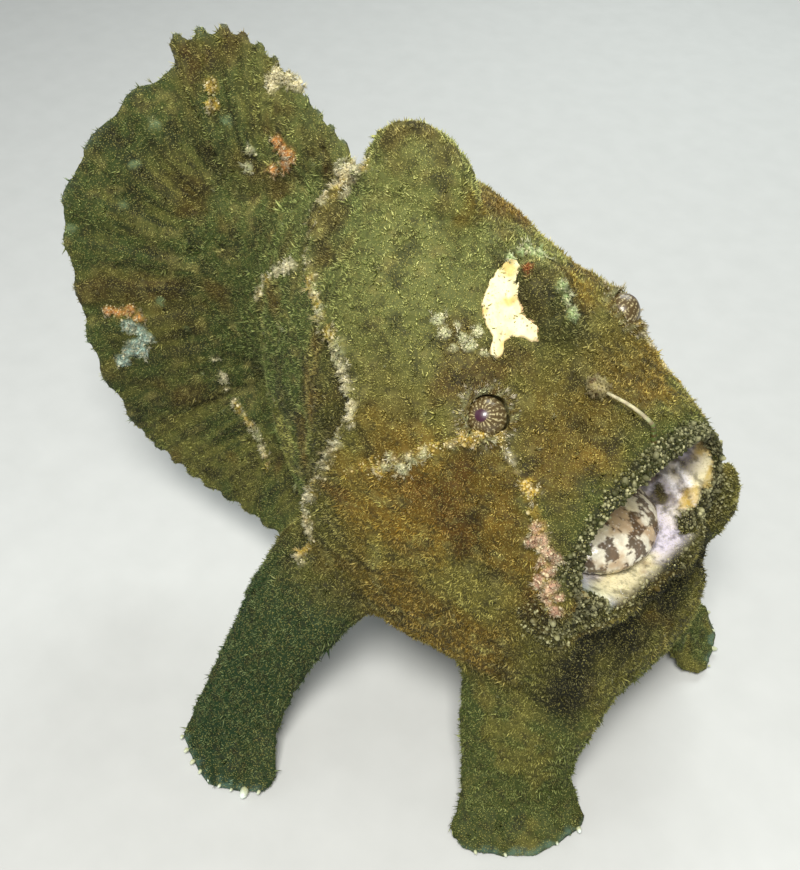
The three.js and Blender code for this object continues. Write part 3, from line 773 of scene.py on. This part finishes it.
skin = mesh_object("frogfish_skin", skin_points, skin_faces, ground, np.stack([crusty, inside, lip_band], 1))
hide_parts(*FLESH)
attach(skin, "root")


# Small shapes planted on the skin
def prong(sides):
    """A closed pointed prong one long: a ring of points at its foot, one point at its tip."""
    turn = np.arange(sides) * 2 * np.pi / sides
    points = np.concatenate([np.stack([np.cos(turn), np.sin(turn), 0 * turn], 1), [[0, 0, 1]]])
    around = [[k, (k + 1) % sides, sides] for k in range(sides)]
    foot = [[0, k + 1, k] for k in range(1, sides - 1)]
    return points, np.array(around + foot)


def knob(sides, rings):
    """A closed round knob: a half circle turned about its axis, from its foot to its tip."""
    turn = np.arange(sides) * 2 * np.pi / sides
    rise = np.linspace(-0.5, 1, rings + 2)[1:-1] * np.pi / 2
    ring = [
        np.stack([np.cos(turn) * np.cos(a), np.sin(turn) * np.cos(a), 0 * turn + np.sin(a)], 1) for a in rise
    ]
    return np.concatenate([[[0, 0, -0.7]], *ring, [[0, 0, 1]]]), lathe(rings, sides)


def several(*prongs):
    """Prongs joined: each is its sides, its width and height, its lean and its foot."""
    points, faces, start = [], [], 0
    for sides, wide, tall, lean, foot in prongs:
        shape, triangles = prong(sides)
        moved = shape * [wide, wide, tall]
        points.append(moved + moved[:, 2:] * np.array([*lean, 0]) + np.array(foot))
        faces.append(triangles + start)
        start += len(shape)
    return np.concatenate(points), np.concatenate(faces)


corner = skin_points[skin_faces]
face_area = length(np.cross(corner[:, 1] - corner[:, 0], corner[:, 2] - corner[:, 0])) / 2
skin_normal = point_normals(skin_points, skin_faces)
skin_flat = ease(0.0012, 0.003, skin_points[:, 2])


def part_of(s, place):
    """A number for each part of the fish, for the unwrap: body, limbs by side, and the thin fins."""
    part = np.zeros(len(s), int)
    low = s[:, 2] < 72
    part[low & (np.abs(s[:, 1]) > 58) & (s[:, 0] < 50)] = 1
    part[low & (s[:, 2] < 40) & (s[:, 0] > 50)] = 2
    part[part > 0] += 2 * (s[part > 0, 1] > 0)
    for k, name in enumerate(FINS):
        part[place[name][2] > 0.5] = 5 + k
    return part


def unwrap(points, part, normal):
    """Each part is laid out from its six sides, side by side on a sheet of 8 by 6 tiles."""
    axis = np.abs(normal).argmax(1)
    direction = axis * 2 + (np.take_along_axis(normal, axis[:, None], 1)[:, 0] > 0)
    uv = np.zeros((len(points), 2))
    for k in range(8):
        here = part == k
        if not here.any():
            continue
        low, high = points[here].min(0), points[here].max(0)
        share = (points[here] - low) / np.maximum(high - low, 1e-6)
        first = np.where(axis[here] == 0, share[:, 1], share[:, 0])
        second = np.where(axis[here] == 2, share[:, 1], share[:, 2])
        uv[here, 0] = (k + 0.05 + 0.9 * first) / 8
        uv[here, 1] = (direction[here] + 0.05 + 0.9 * second) / 6
    return uv


skin_part = part_of(s, place)


def scatter(count, weight, seed):
    """Roots at random on the skin's triangles, as many as area times weight asks for."""
    rng = np.random.default_rng(seed)
    chance = face_area * weight[skin_faces].mean(1)
    triangle = rng.choice(len(chance), count, p=chance / chance.sum())
    a, b = rng.random(count), rng.random(count)
    a, b = np.where(a + b > 1, 1 - a, a), np.where(a + b > 1, 1 - b, b)
    share = np.stack([1 - a - b, a, b], 1)[..., None]
    pick = skin_faces[triangle]
    root, up, colour = [(values[pick] * share).sum(1) for values in (skin_points, skin_normal, paint)]
    up = unit(up)
    return rng, root, up, colour, unwrap(root, skin_part[pick[:, 0]], up)


def coat_lie(root):
    """The way spicules lie: away from the body's middle and backwards, and outwards round each eye."""
    out = root - np.array([0.02, 0, 0.11])
    out = 0.45 * out / np.linalg.norm(out, axis=1, keepdims=True) + np.array([-0.3, 0, 0.0])
    for node in ("eye_right", "eye_left"):
        low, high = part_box(node)
        away = root - np.array((low + high) / 2)
        far = length(away)[:, None]
        near = ease(0.016, 0.009, far)
        out = out * (1 - near) + 1.1 * near * away / far
    return out


def planted(name, shape, roots, wide, tall, lean, sink, tint, lie=None):
    """One mesh of a small shape set on every root, turned at random and leaning along the skin."""
    points, faces = shape
    rng, root, up, colour, uv = roots
    count = len(root)
    first = unit(np.cross(up, rng.normal(size=(count, 3))))
    second = np.cross(up, first)
    tilt = up + lean * rng.normal(size=(count, 1)) * first + lean * rng.normal(size=(count, 1)) * second
    if lie is not None:
        tilt = tilt + lie(root)
    tilt = unit(tilt)
    size = np.exp(rng.normal(size=(count, 1, 1)) * 0.36)
    placed = root[:, None] - up[:, None] * sink * MM + size * MM * (
        points[None, :, :1] * wide * first[:, None]
        + points[None, :, 1:2] * wide * second[:, None]
        + points[None, :, 2:] * tall * tilt[:, None]
    )
    placed[..., 2] = np.maximum(placed[..., 2], 0.00005)
    top = ease(0.0, 0.75, points[:, 2] / points[:, 2].max())
    shade = colour[:, None] * (1 - top[None, :, None]) + tint(colour, rng)[:, None] * top[None, :, None]
    corners = (faces[None] + (np.arange(count) * len(points))[:, None, None]).reshape(-1, 3)
    patch = uv[:, None] + 0.0015 * points[None, :, :2] / np.abs(points[:, :2]).max()
    unwrapped = "OFBake", patch.reshape(-1, 2)[corners.ravel()]
    piece = mesh_object(name, placed.reshape(-1, 3), corners, shade.reshape(-1, 3), uv=unwrapped)
    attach(piece, "root")
    return piece


def lighter(amount, towards, spread=0.3, gain=None):
    """A tint: the skin's own colour carried a random part of the way to another, or where there is
    a gain to itself that many times brighter with some of the other."""
    def tint(colour, rng):
        share = np.clip(amount + spread * rng.normal(size=len(colour)), 0, 1)
        goal = towards if gain is None else np.minimum(gain * colour + 0.42 * towards, 0.95)
        return blend(colour, goal, share)
    return tint


FORKED = several((3, 0.17, 1.0, (0.35, 0.1), (0.1, 0, 0)), (3, 0.15, 0.85, (-0.45, -0.1), (-0.1, 0, 0)))
BRANCHED = several(
    (4, 0.16, 1.0, (0.1, 0.1), (0, 0, 0)),
    (3, 0.12, 0.75, (0.9, 0.2), (0.05, 0, 0.2)),
    (3, 0.12, 0.7, (-0.8, 0.5), (-0.04, 0, 0.25)),
    (3, 0.10, 0.6, (0.1, -0.9), (0, 0, 0.35)),
    (3, 0.09, 0.45, (0.5, 0.8), (0.05, 0, 0.5)),
    (3, 0.09, 0.4, (-0.5, -0.7), (-0.05, 0, 0.55)),
)
coat_weight = (1 - inside) * skin_flat * (1 - 0.8 * lip_band)
coat_weight *= ease(1.0, 4.0, place["toe"]) * (1 - 0.3 * place["thin"]) * (1 - 0.6 * spots["under"])
eye_weight = ease(11.0, 8.5, place["eye"]) * ease(5.4, 6.4, place["eye"])
lip_weight = (lip_band ** 2 + 0.35 * place["jaw"] * (1 - inside)) * (1 - crusty)
coat = [
    planted(
        f"spicules_{k + 1}", FORKED, scatter(24000, coat_weight, 101 + k), 0.95, 1.0, 0.5, 0.12,
        lighter(0.42, tone("f0e8a4"), 0.6, gain=2.7), lie=coat_lie,
    )
    for k in range(5)
]
crusts = [
    planted(
        "crust_grains", knob(5, 2), scatter(5600, (crusty ** 1.5 + 0.5 * spots["canal"]) * skin_flat, 111),
        0.33, 0.4, 0.3, 0.0, lighter(0.3, CREAM),
    ),
    planted(
        "crust_tufts", BRANCHED, scatter(4200, crusty * skin_flat, 113),
        0.9, 1.6, 0.7, 0.1, lighter(0.4, tone("e9e3c2"), 0.4),
    ),
    planted(
        "loose_tufts", BRANCHED, scatter(1500, coat_weight * (1 - crusty), 115),
        0.7, 1.3, 0.7, 0.1, lighter(0.35, PALE),
    ),
    planted(
        "eye_filaments", BRANCHED, scatter(700, eye_weight, 119),
        0.6, 1.5, 0.3, 0.1, lighter(0.5, tone("e9dfc6"), 0.45), lie=coat_lie,
    ),
]
lip_papillae = planted(
    "lip_papillae", knob(6, 3), scatter(4200, lip_weight, 117),
    0.4, 0.65, 0.3, 0.1, lighter(0.25, tone("b3b084"), 0.35),
)


def flat_crust(name, loop, step, thick):
    """A smooth crust with a crisp edge: a fine square net over the loop's own plane, its height over that
    the mean of the skin points near by, weighed by exp(-distance^2), plus thick times an ease at the edge."""
    centre = loop.mean(0)
    axes = np.linalg.svd(loop - centre)[2]
    axes[2] *= np.sign(axes[2] @ (CAMERA_BACK + [0, 0, 1]))
    axes[1] = np.cross(axes[2], axes[0])
    ring, flat = (loop - centre) @ axes.T / MM, (skin_points - centre) @ axes.T / MM
    low, high = ring.min(0) - 2, ring.max(0) + 2
    near = ((flat[:, :2] > low[:2] - 2) & (flat[:, :2] < high[:2] + 2)).all(1) & (np.abs(flat[:, 2]) < 9)
    flat = flat[near & (skin_normal @ axes[2] > 0.2)]
    u, v = np.meshgrid(np.arange(low[0], high[0], step), np.arange(low[1], high[1], step), indexing="ij")
    net = np.stack([u.ravel(), v.ravel()], 1)
    weight = np.exp(-((net[:, None] - flat[None, :, :2]) ** 2).sum(2) / 0.9)
    level = (weight * flat[:, 2]).sum(1) / np.maximum(weight.sum(1), 1e-9)
    spot = np.concatenate([net, 0 * net[:, :1]], 1)
    wavy = spot + 0.45 * cloud(spot + 40, 1.7, 161)[:, None] * [1, 1, 0]
    on = within(wavy, ring * [1, 1, 0], 5, 0.35)
    body_on = ease(0.0, 0.9, on)
    height = level + thick * body_on - 0.9 * (1 - body_on) + 0.12 * layered(spot, 3, 163) * on
    points = centre + np.concatenate([net, height[:, None]], 1) @ axes * MM
    index = np.arange(u.size).reshape(u.shape)
    corners = np.stack([index[:-1, :-1], index[1:, :-1], index[1:, 1:], index[:-1, 1:]], -1).reshape(-1, 4)
    corners = corners[(on[corners] > 0.002).any(1)]
    used, faces = np.unique(halves(*corners.T), return_inverse=True)
    rng = np.random.default_rng(167)
    dots = rng.uniform(low[:2], high[:2], (150, 2))
    wide = rng.uniform(0.25, 0.5, 150)
    dotted = ease(1.0, 0.6, (length(net[:, None] - dots) / wide).min(1))
    colour = coats(
        tone("ece2b4"), (tone("cdb673"), blots(spot, 5, 165, 0.0, 0.7)),
        (tone("a9764a"), 0.6 * ease(0.95, 0.4, on)),
        (INK, 0.9 * dotted * ease(-0.5, 0.2, cloud(spot, 9, 169))),
    )
    piece = mesh_object(name, points[used], faces.reshape(-1, 3), colour[used])
    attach(piece, "root")
    return piece


cream_patch = flat_crust("cream_patch", BLOTCH, 0.3, 0.75)


# The mouth's tongue and gill arches
def finished_flesh(name, node, voxel, colouring):
    """A CAD solid's copy fused finely, smoothed and roughened, with its own colours."""
    points, faces = fused([node], voxel * MM, 0.1 * MM)
    points = smoothed(points, faces, 14, np.ones(len(points)))
    s = straight(points)
    normal = point_normals(points, faces)
    points = points + normal * (0.3 * layered(s, 4, 91) + 0.25 * warts(s, 2.2, 93) - 0.1)[:, None] * MM
    piece = mesh_object(name, points, faces, colouring(s), np.tile([0, 1, 0.0], (len(points), 1)))
    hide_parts(node)
    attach(piece, "root")
    return piece


tongue = finished_flesh("mouth_floor", "tongue", 0.55, lambda s: coats(
    tone("e2dcc6"), (CREAM, blots(s, 12, 121, -0.3, 0.5)), (tone("a07a48"), 0.7 * blots(s, 9, 123, 0.1, 0.4)),
    (tone("43301c"), 0.9 * blots(s * [0.8, 1, 1], 2.6, 125, 0.02, 0.16)),
))
gills = finished_flesh("gill_arch_bars", "gill_arches", 0.7, lambda s: coats(
    # Painted shade: the arches darken towards the back of the mouth
    LILAC, (tone("efeaf0"), blots(s, 5, 131, -0.2, 0.5)), (tone("4a3a3c"), 0.8 * ease(72, 60, s[:, 0])),
))


# The lure: a rod that thins along its path, and a bait with filaments at its end
def carried(name, path, radius, sides, paint_by):
    """A round profile carried along a path; radius and colour are functions of the share of the way."""
    t = np.linspace(0, 1, len(path))
    ahead = unit(np.gradient(path, axis=0))
    side = unit(np.cross(ahead, [0.2, 1, 0.1]))
    other = np.cross(ahead, side)
    turn = np.arange(sides) * 2 * np.pi / sides
    ring = path[:, None] + radius(t)[:, None, None] * (
        np.cos(turn)[None, :, None] * side[:, None] + np.sin(turn)[None, :, None] * other[:, None]
    )
    points = np.concatenate([path[:1], ring.reshape(-1, 3), path[-1:]])
    colour = paint_by(np.concatenate([[0], np.repeat(t, sides), [1]]))
    return mesh_object(name, points, lathe(len(path), sides), colour)


ROD_PATH = [[105, 0, 148], [104, -0.5, 154], [103, -1, 157], [96, -2, 160], [87, -3, 161]]
BAIT_SIZE, BAIT_PLACE = (4.6, 3.2, 2.7), [84, -3, 161.5]
rod = carried(
    "lure_rod", bent(spine_line(ROD_PATH, 40)), lambda t: MM * (0.95 - 0.45 * t), 10,
    lambda t: coats(tone("4f3a1e"), (GRASS, 0.5 + 0.5 * np.sin(t * 60)), (CREAM, 0.6 * ease(0.4, 0.7, t))),
)
BAIT_AROUND, BAIT_ROWS = 40, 24
turn, lift = np.meshgrid(
    np.linspace(0, 2 * np.pi, BAIT_AROUND + 1)[:-1], np.linspace(0, np.pi, BAIT_ROWS + 2)[1:-1],
    indexing="ij",
)
ball = np.stack([np.cos(turn) * np.sin(lift), np.sin(turn) * np.sin(lift), np.cos(lift)], -1) * BAIT_SIZE * 0.8
ball = ball.reshape(-1, 3)
ball *= (1 + 0.16 * layered(ball + 50, 2.4, 141))[:, None]
ball = np.concatenate([ball, [[0, 0, 2.16], [0, 0, -2.16]]])
ball_colour = blend(tone("8f8458"), tone("5a4426"), blots(ball + 20, 2.0, 145, 0.0, 0.6))
bait_points = bent(BAIT_PLACE)[0] + ball * MM
bait = mesh_object("lure_bait", bait_points, globe(BAIT_AROUND, BAIT_ROWS)[0], ball_colour)
hair = np.random.default_rng(147).choice(len(ball), 260)
hair_up = ball / np.maximum(length(ball)[:, None], 1e-9)
hair_at = np.minimum(hair, turn.size - 1)
hair_uv = np.stack([0.2 + 0.1 * turn.ravel()[hair_at] / 6.3, 0.3 + 0.1 * lift.ravel()[hair_at] / 3.2], 1)
bait_hair = planted(
    "lure_bait_filaments", BRANCHED,
    (np.random.default_rng(148), bait_points[hair], hair_up[hair], ball_colour[hair], hair_uv),
    0.6, 1.3, 0.4, 0.1, lighter(0.3, tone("c9c090")),
)
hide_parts("lure")
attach(rod, "root")
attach(bait, "root")


# Eyes and toe tips
def eye(name, node, side):
    """A ball with a slightly raised cornea, its pole along the gaze."""
    around, rows = 72, 48
    fall = np.linspace(0, np.pi, rows + 2)
    turn, polar = np.meshgrid(np.arange(around) * 2 * np.pi / around, fall[1:-1], indexing="ij")
    bulge = 1 + 0.05 * np.exp(-(polar / 0.5) ** 2)
    gaze = np.array([0.18, -0.72 * side, 0.67])
    gaze /= np.linalg.norm(gaze)
    first = np.cross(gaze, [0, 0, 1.0])
    first /= np.linalg.norm(first)
    second = np.cross(gaze, first)
    shape = (
        (np.sin(polar) * np.cos(turn))[..., None] * first
        + (np.sin(polar) * np.sin(turn))[..., None] * second
        + np.cos(polar)[..., None] * gaze
    ) * bulge[..., None]
    points = np.concatenate([shape.reshape(-1, 3), [gaze * 1.05, -gaze]])
    low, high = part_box(node)
    faces, share, row = globe(around, rows)
    spokes_uv = "gaze", np.stack([share, fall[row + 1] / np.pi], 1)
    piece = mesh_object(name, np.array((low + high) / 2) + points * EYE_RADIUS * MM, faces, uv=spokes_uv)
    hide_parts(node)
    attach(piece, "root")
    return piece


eyes = [eye("eye_ball_right", "eye_right", 1), eye("eye_ball_left", "eye_left", -1)]

# Small pale blunt nails at the ends of the rays of the four standing fins
nail_roots = np.concatenate([tips - way * 0.9 * MM + np.array([0, 0, 0.6 * MM]) for _, tips, way in TOE_RIMS])
nail_up = np.concatenate([np.tile(way, (len(tips), 1)) for _, tips, way in TOE_RIMS])
nail_uv = np.stack([np.linspace(0.1, 0.9, len(nail_roots)), np.full(len(nail_roots), 0.97)], 1)
nails = planted(
    "toe_tips", knob(10, 5),
    (np.random.default_rng(151), nail_roots, nail_up, np.tile(PALE, (len(nail_roots), 1)), nail_uv),
    0.75, 1.3, 0.08, 0.0, lighter(0.6, tone("dfe9e2")),
)


# Materials
def feed(tree, node, inputs):
    """A node's inputs, by name or number: constants, or outputs of other nodes to link."""
    for key, value in inputs.items():
        if isinstance(value, bpy.types.NodeSocket):
            tree.links.new(value, node.inputs[key])
        else:
            node.inputs[key].default_value = value


def node_in(tree, kind, inputs=None, **settings):
    """A new node with its settings and its inputs."""
    made = tree.nodes.new("ShaderNode" + kind)
    for title, value in settings.items():
        setattr(made, title, value)
    feed(tree, made, inputs or {})
    return made


def maths(tree, operation, *values):
    """One sum of one or two values."""
    return node_in(tree, "Math", dict(enumerate(values)), operation=operation).outputs[0]


def mixed(tree, first, second, share):
    """first where share is 0 and second where it is 1."""
    return node_in(tree, "Mix", {"Factor": share, 6: first, 7: second}, data_type="RGBA").outputs[2]


def material_of(name, surface_of):
    """A new material; surface_of its node tree gives the inputs of its surface."""
    material = bpy.data.materials.new(name)
    material.use_nodes = True
    tree = material.node_tree
    feed(tree, tree.nodes["Principled BSDF"], surface_of(tree))
    return material


def grain_group():
    """Speckle and fine relief shared by skin, coat and crust: colour in, colour and height out."""
    group = bpy.data.node_groups.new("skin_grain", "ShaderNodeTree")
    for title, kind, way in (
        ("Colour", "Color", "INPUT"), ("Light", "Color", "INPUT"), ("Dark", "Color", "INPUT"),
        ("Speck size", "Float", "INPUT"), ("Speck", "Float", "INPUT"), ("Blotch", "Float", "INPUT"),
        ("Colour", "Color", "OUTPUT"), ("Height", "Float", "OUTPUT"),
    ):
        group.interface.new_socket(name=title, in_out=way, socket_type="NodeSocket" + kind)
    start, end = group.nodes.new("NodeGroupInput").outputs, group.nodes.new("NodeGroupOutput")
    where = node_in(group, "TexCoord").outputs["Object"]
    fine = node_in(group, "TexNoise", {
        "Vector": where, "Scale": start["Speck size"], "Detail": 3.0, "Roughness": 0.65,
    }).outputs["Fac"]
    coarse = node_in(group, "TexNoise", {"Vector": where, "Scale": 260.0, "Detail": 4.0, "Roughness": 0.6})
    cells = node_in(group, "TexVoronoi", {"Vector": where, "Scale": start["Speck size"], "Randomness": 1.0})
    dots, blotch = [
        node_in(
            group, "MapRange", {"Value": value, "From Min": low, "From Max": high},
            interpolation_type="SMOOTHSTEP",
        ).outputs["Result"]
        for value, low, high in ((cells.outputs["Distance"], 0.42, 0.12), (coarse.outputs["Fac"], 0.46, 0.66))
    ]
    speck = maths(group, "MULTIPLY", maths(group, "MULTIPLY", dots, fine), start["Speck"])
    darker = mixed(group, start["Colour"], start["Dark"], maths(group, "MULTIPLY", blotch, start["Blotch"]))
    relief = maths(group, "MULTIPLY", dots, 0.7), maths(group, "MULTIPLY", fine, 0.6)
    feed(group, end, {
        "Colour": mixed(group, darker, start["Light"], speck), "Height": maths(group, "ADD", *relief),
    })
    return group


GRAIN_GROUP = grain_group()


def grained(name, light, dark, speck_size, speck, blotch, rough, depth, gloss=0.0):
    """A finish of painted colour, speckle and relief, depth in millimetres."""
    def surface(tree):
        grain = node_in(tree, "Group", {
            "Colour": node_in(tree, "Attribute", attribute_name="paint").outputs["Color"],
            "Light": rgba(light), "Dark": rgba(dark),
            "Speck size": speck_size, "Speck": speck, "Blotch": blotch,
        }, node_tree=GRAIN_GROUP).outputs
        bump = node_in(tree, "Bump", {"Strength": 0.55, "Distance": depth * MM, "Height": grain["Height"]})
        return {
            "Base Color": grain["Colour"], "Normal": bump.outputs["Normal"], "Roughness": rough,
            "Specular IOR Level": 0.2 + gloss, "Coat Weight": gloss, "Coat Roughness": 0.25,
        }
    return material_of(name, surface)


def spoked(tree):
    """Small dark pupil, and spokes that run out from it over a brown-pink iris."""
    parts = node_in(tree, "SeparateXYZ", {"Vector": node_in(tree, "UVMap", uv_map="gaze").outputs["UV"]})
    where = node_in(tree, "TexCoord").outputs["Object"]
    wobble, broken = [
        node_in(tree, "TexNoise", {"Vector": where, "Scale": scale, "Detail": detail}).outputs["Fac"]
        for scale, detail in ((420.0, 2.0), (1500.0, 1.0))
    ]
    spokes = maths(tree, "MULTIPLY", parts.outputs["X"], 2 * math.pi * 19)
    turned = maths(tree, "ADD", spokes, maths(tree, "MULTIPLY", wobble, 7.0))
    wave = maths(tree, "MULTIPLY", maths(tree, "ADD", maths(tree, "SINE", turned), 1.0), 0.5)
    dashes = node_in(tree, "MapRange", {"Value": broken, "From Min": 0.45, "From Max": 0.6}).outputs["Result"]
    sharp = maths(tree, "MULTIPLY", maths(tree, "POWER", wave, 2.0), dashes)
    iris = mixed(tree, rgba("4f3f22"), rgba("bdb083"), sharp)
    pupil = node_in(tree, "ValToRGB", {"Fac": parts.outputs["Y"]})
    ends = pupil.color_ramp.elements
    ends[0].position, ends[0].color = 0.085, (0, 0, 0, 1)
    ends[1].position, ends[1].color = 0.11, (1, 1, 1, 1)
    return {
        "Base Color": mixed(tree, rgba("3a1528"), iris, pupil.outputs["Color"]),
        "Roughness": 0.4, "Coat Weight": 0.35, "Coat Roughness": 0.04,
    }


skin_finish = grained("velvet_skin", "b4ab5e", "1e1c0c", 1500.0, 0.9, 0.6, 0.75, 0.45)
skin_nodes = skin_finish.node_tree
masks = node_in(skin_nodes, "Attribute", attribute_name="marks").outputs["Color"]
mouth_mask = node_in(skin_nodes, "SeparateColor", {"Color": masks}).outputs["Green"]
wet = node_in(skin_nodes, "MapRange", {"Value": mouth_mask, "To Min": 0.72, "To Max": 0.28}).outputs["Result"]
feed(skin_nodes, skin_nodes.nodes["Principled BSDF"], {"Roughness": wet})
for pieces, finish in (
    ([skin], skin_finish),
    (coat, grained("spicule_coat", "d8d088", "3a3516", 900.0, 0.25, 0.25, 0.65, 0.1)),
    (crusts, grained("pale_crust", "f2ecd2", "8a7a50", 1400.0, 0.6, 0.4, 0.8, 0.3)),
    ([cream_patch], grained("smooth_cream_crust", "efe6bc", "b89c62", 700.0, 0.3, 0.3, 0.6, 0.12)),
    ([lip_papillae], grained("dark_lip_skin", "7a6a38", "1e1a0e", 1300.0, 0.4, 0.5, 0.55, 0.25)),
    ([tongue], grained("wet_mouth_lining", "f6f2e4", "8a6a50", 800.0, 0.5, 0.25, 0.25, 0.3, 0.3)),
    ([gills], grained("wet_gill_tissue", "ffffff", "6a5864", 1100.0, 0.5, 0.35, 0.25, 0.3, 0.3)),
    ([rod, bait, bait_hair], grained("lure_flesh", "e8dcc0", "3a1a12", 1500.0, 0.4, 0.4, 0.5, 0.15)),
    ([nails], grained("pale_toe_tip", "f4fbf6", "9fb0a8", 1200.0, 0.4, 0.3, 0.35, 0.1)),
    (eyes, material_of("spoked_eye", spoked)),
):
    for piece in pieces:
        piece.data.materials.append(finish)


# Floor, light and camera
def pale_ground(tree):
    """Plain pale grey with a faint speckle."""
    where = node_in(tree, "TexCoord").outputs["Object"]
    speckle = node_in(tree, "TexNoise", {"Vector": where, "Scale": 60.0, "Detail": 3.0}).outputs["Fac"]
    grey = mixed(tree, (0.50, 0.51, 0.50, 1), (0.56, 0.57, 0.56, 1), speckle)
    return {"Base Color": grey, "Roughness": 0.85}


FLOOR_OUT = 3.0
square = FLOOR_OUT * np.array([[-1, -1, 0], [1, -1, 0], [1, 1, 0], [-1, 1, 0]])
floor = mesh_object("pale_floor", square, np.array([[0, 1, 2, 3]]))
floor.data.materials.append(material_of("pale_floor", pale_ground))


def aimed(name, data, at, way):
    """A lamp or a camera at a place, looking one way."""
    holder = bpy.data.objects.new(name, data)
    holder.location = at
    holder.rotation_euler = Vector(way).to_track_quat("-Z", "Y").to_euler()
    bpy.context.scene.collection.objects.link(holder)
    return holder


LIT_MIDDLE = (0, 0, 0.11)
for name, at, size, power, colour in (
    ("key", (0.32, -0.45, 0.9), 0.3, 14, (1.0, 0.98, 0.93)),
    ("fill", (-0.7, -0.5, 0.5), 0.8, 1.5, (0.92, 0.97, 1.0)),
    ("rim", (-0.2, 0.7, 0.7), 0.6, 5, (0.95, 1.0, 0.98)),
):
    lamp = bpy.data.lights.new(name, "AREA")
    lamp.size, lamp.energy, lamp.color = size, power, colour
    aimed(name, lamp, at, Vector(LIT_MIDDLE) - Vector(at))
world = bpy.data.worlds.new("soft_room")
world.use_nodes = True
feed(world.node_tree, world.node_tree.nodes["Background"], {"Color": (0.85, 0.9, 0.92, 1), "Strength": 0.22})
bpy.context.scene.world = world
bpy.context.scene.view_settings.view_transform = "Standard"

SENSOR_WIDE = 36
view = bpy.data.cameras.new("photo_view")
view.sensor_width = SENSOR_WIDE
view.lens = SENSOR_WIDE * FOCAL_PIXELS / FRAME_HIGH
view.clip_start, view.clip_end = 0.01, 20
bpy.context.scene.camera = aimed("photo_view", view, CAMERA_AT, -CAMERA_BACK)
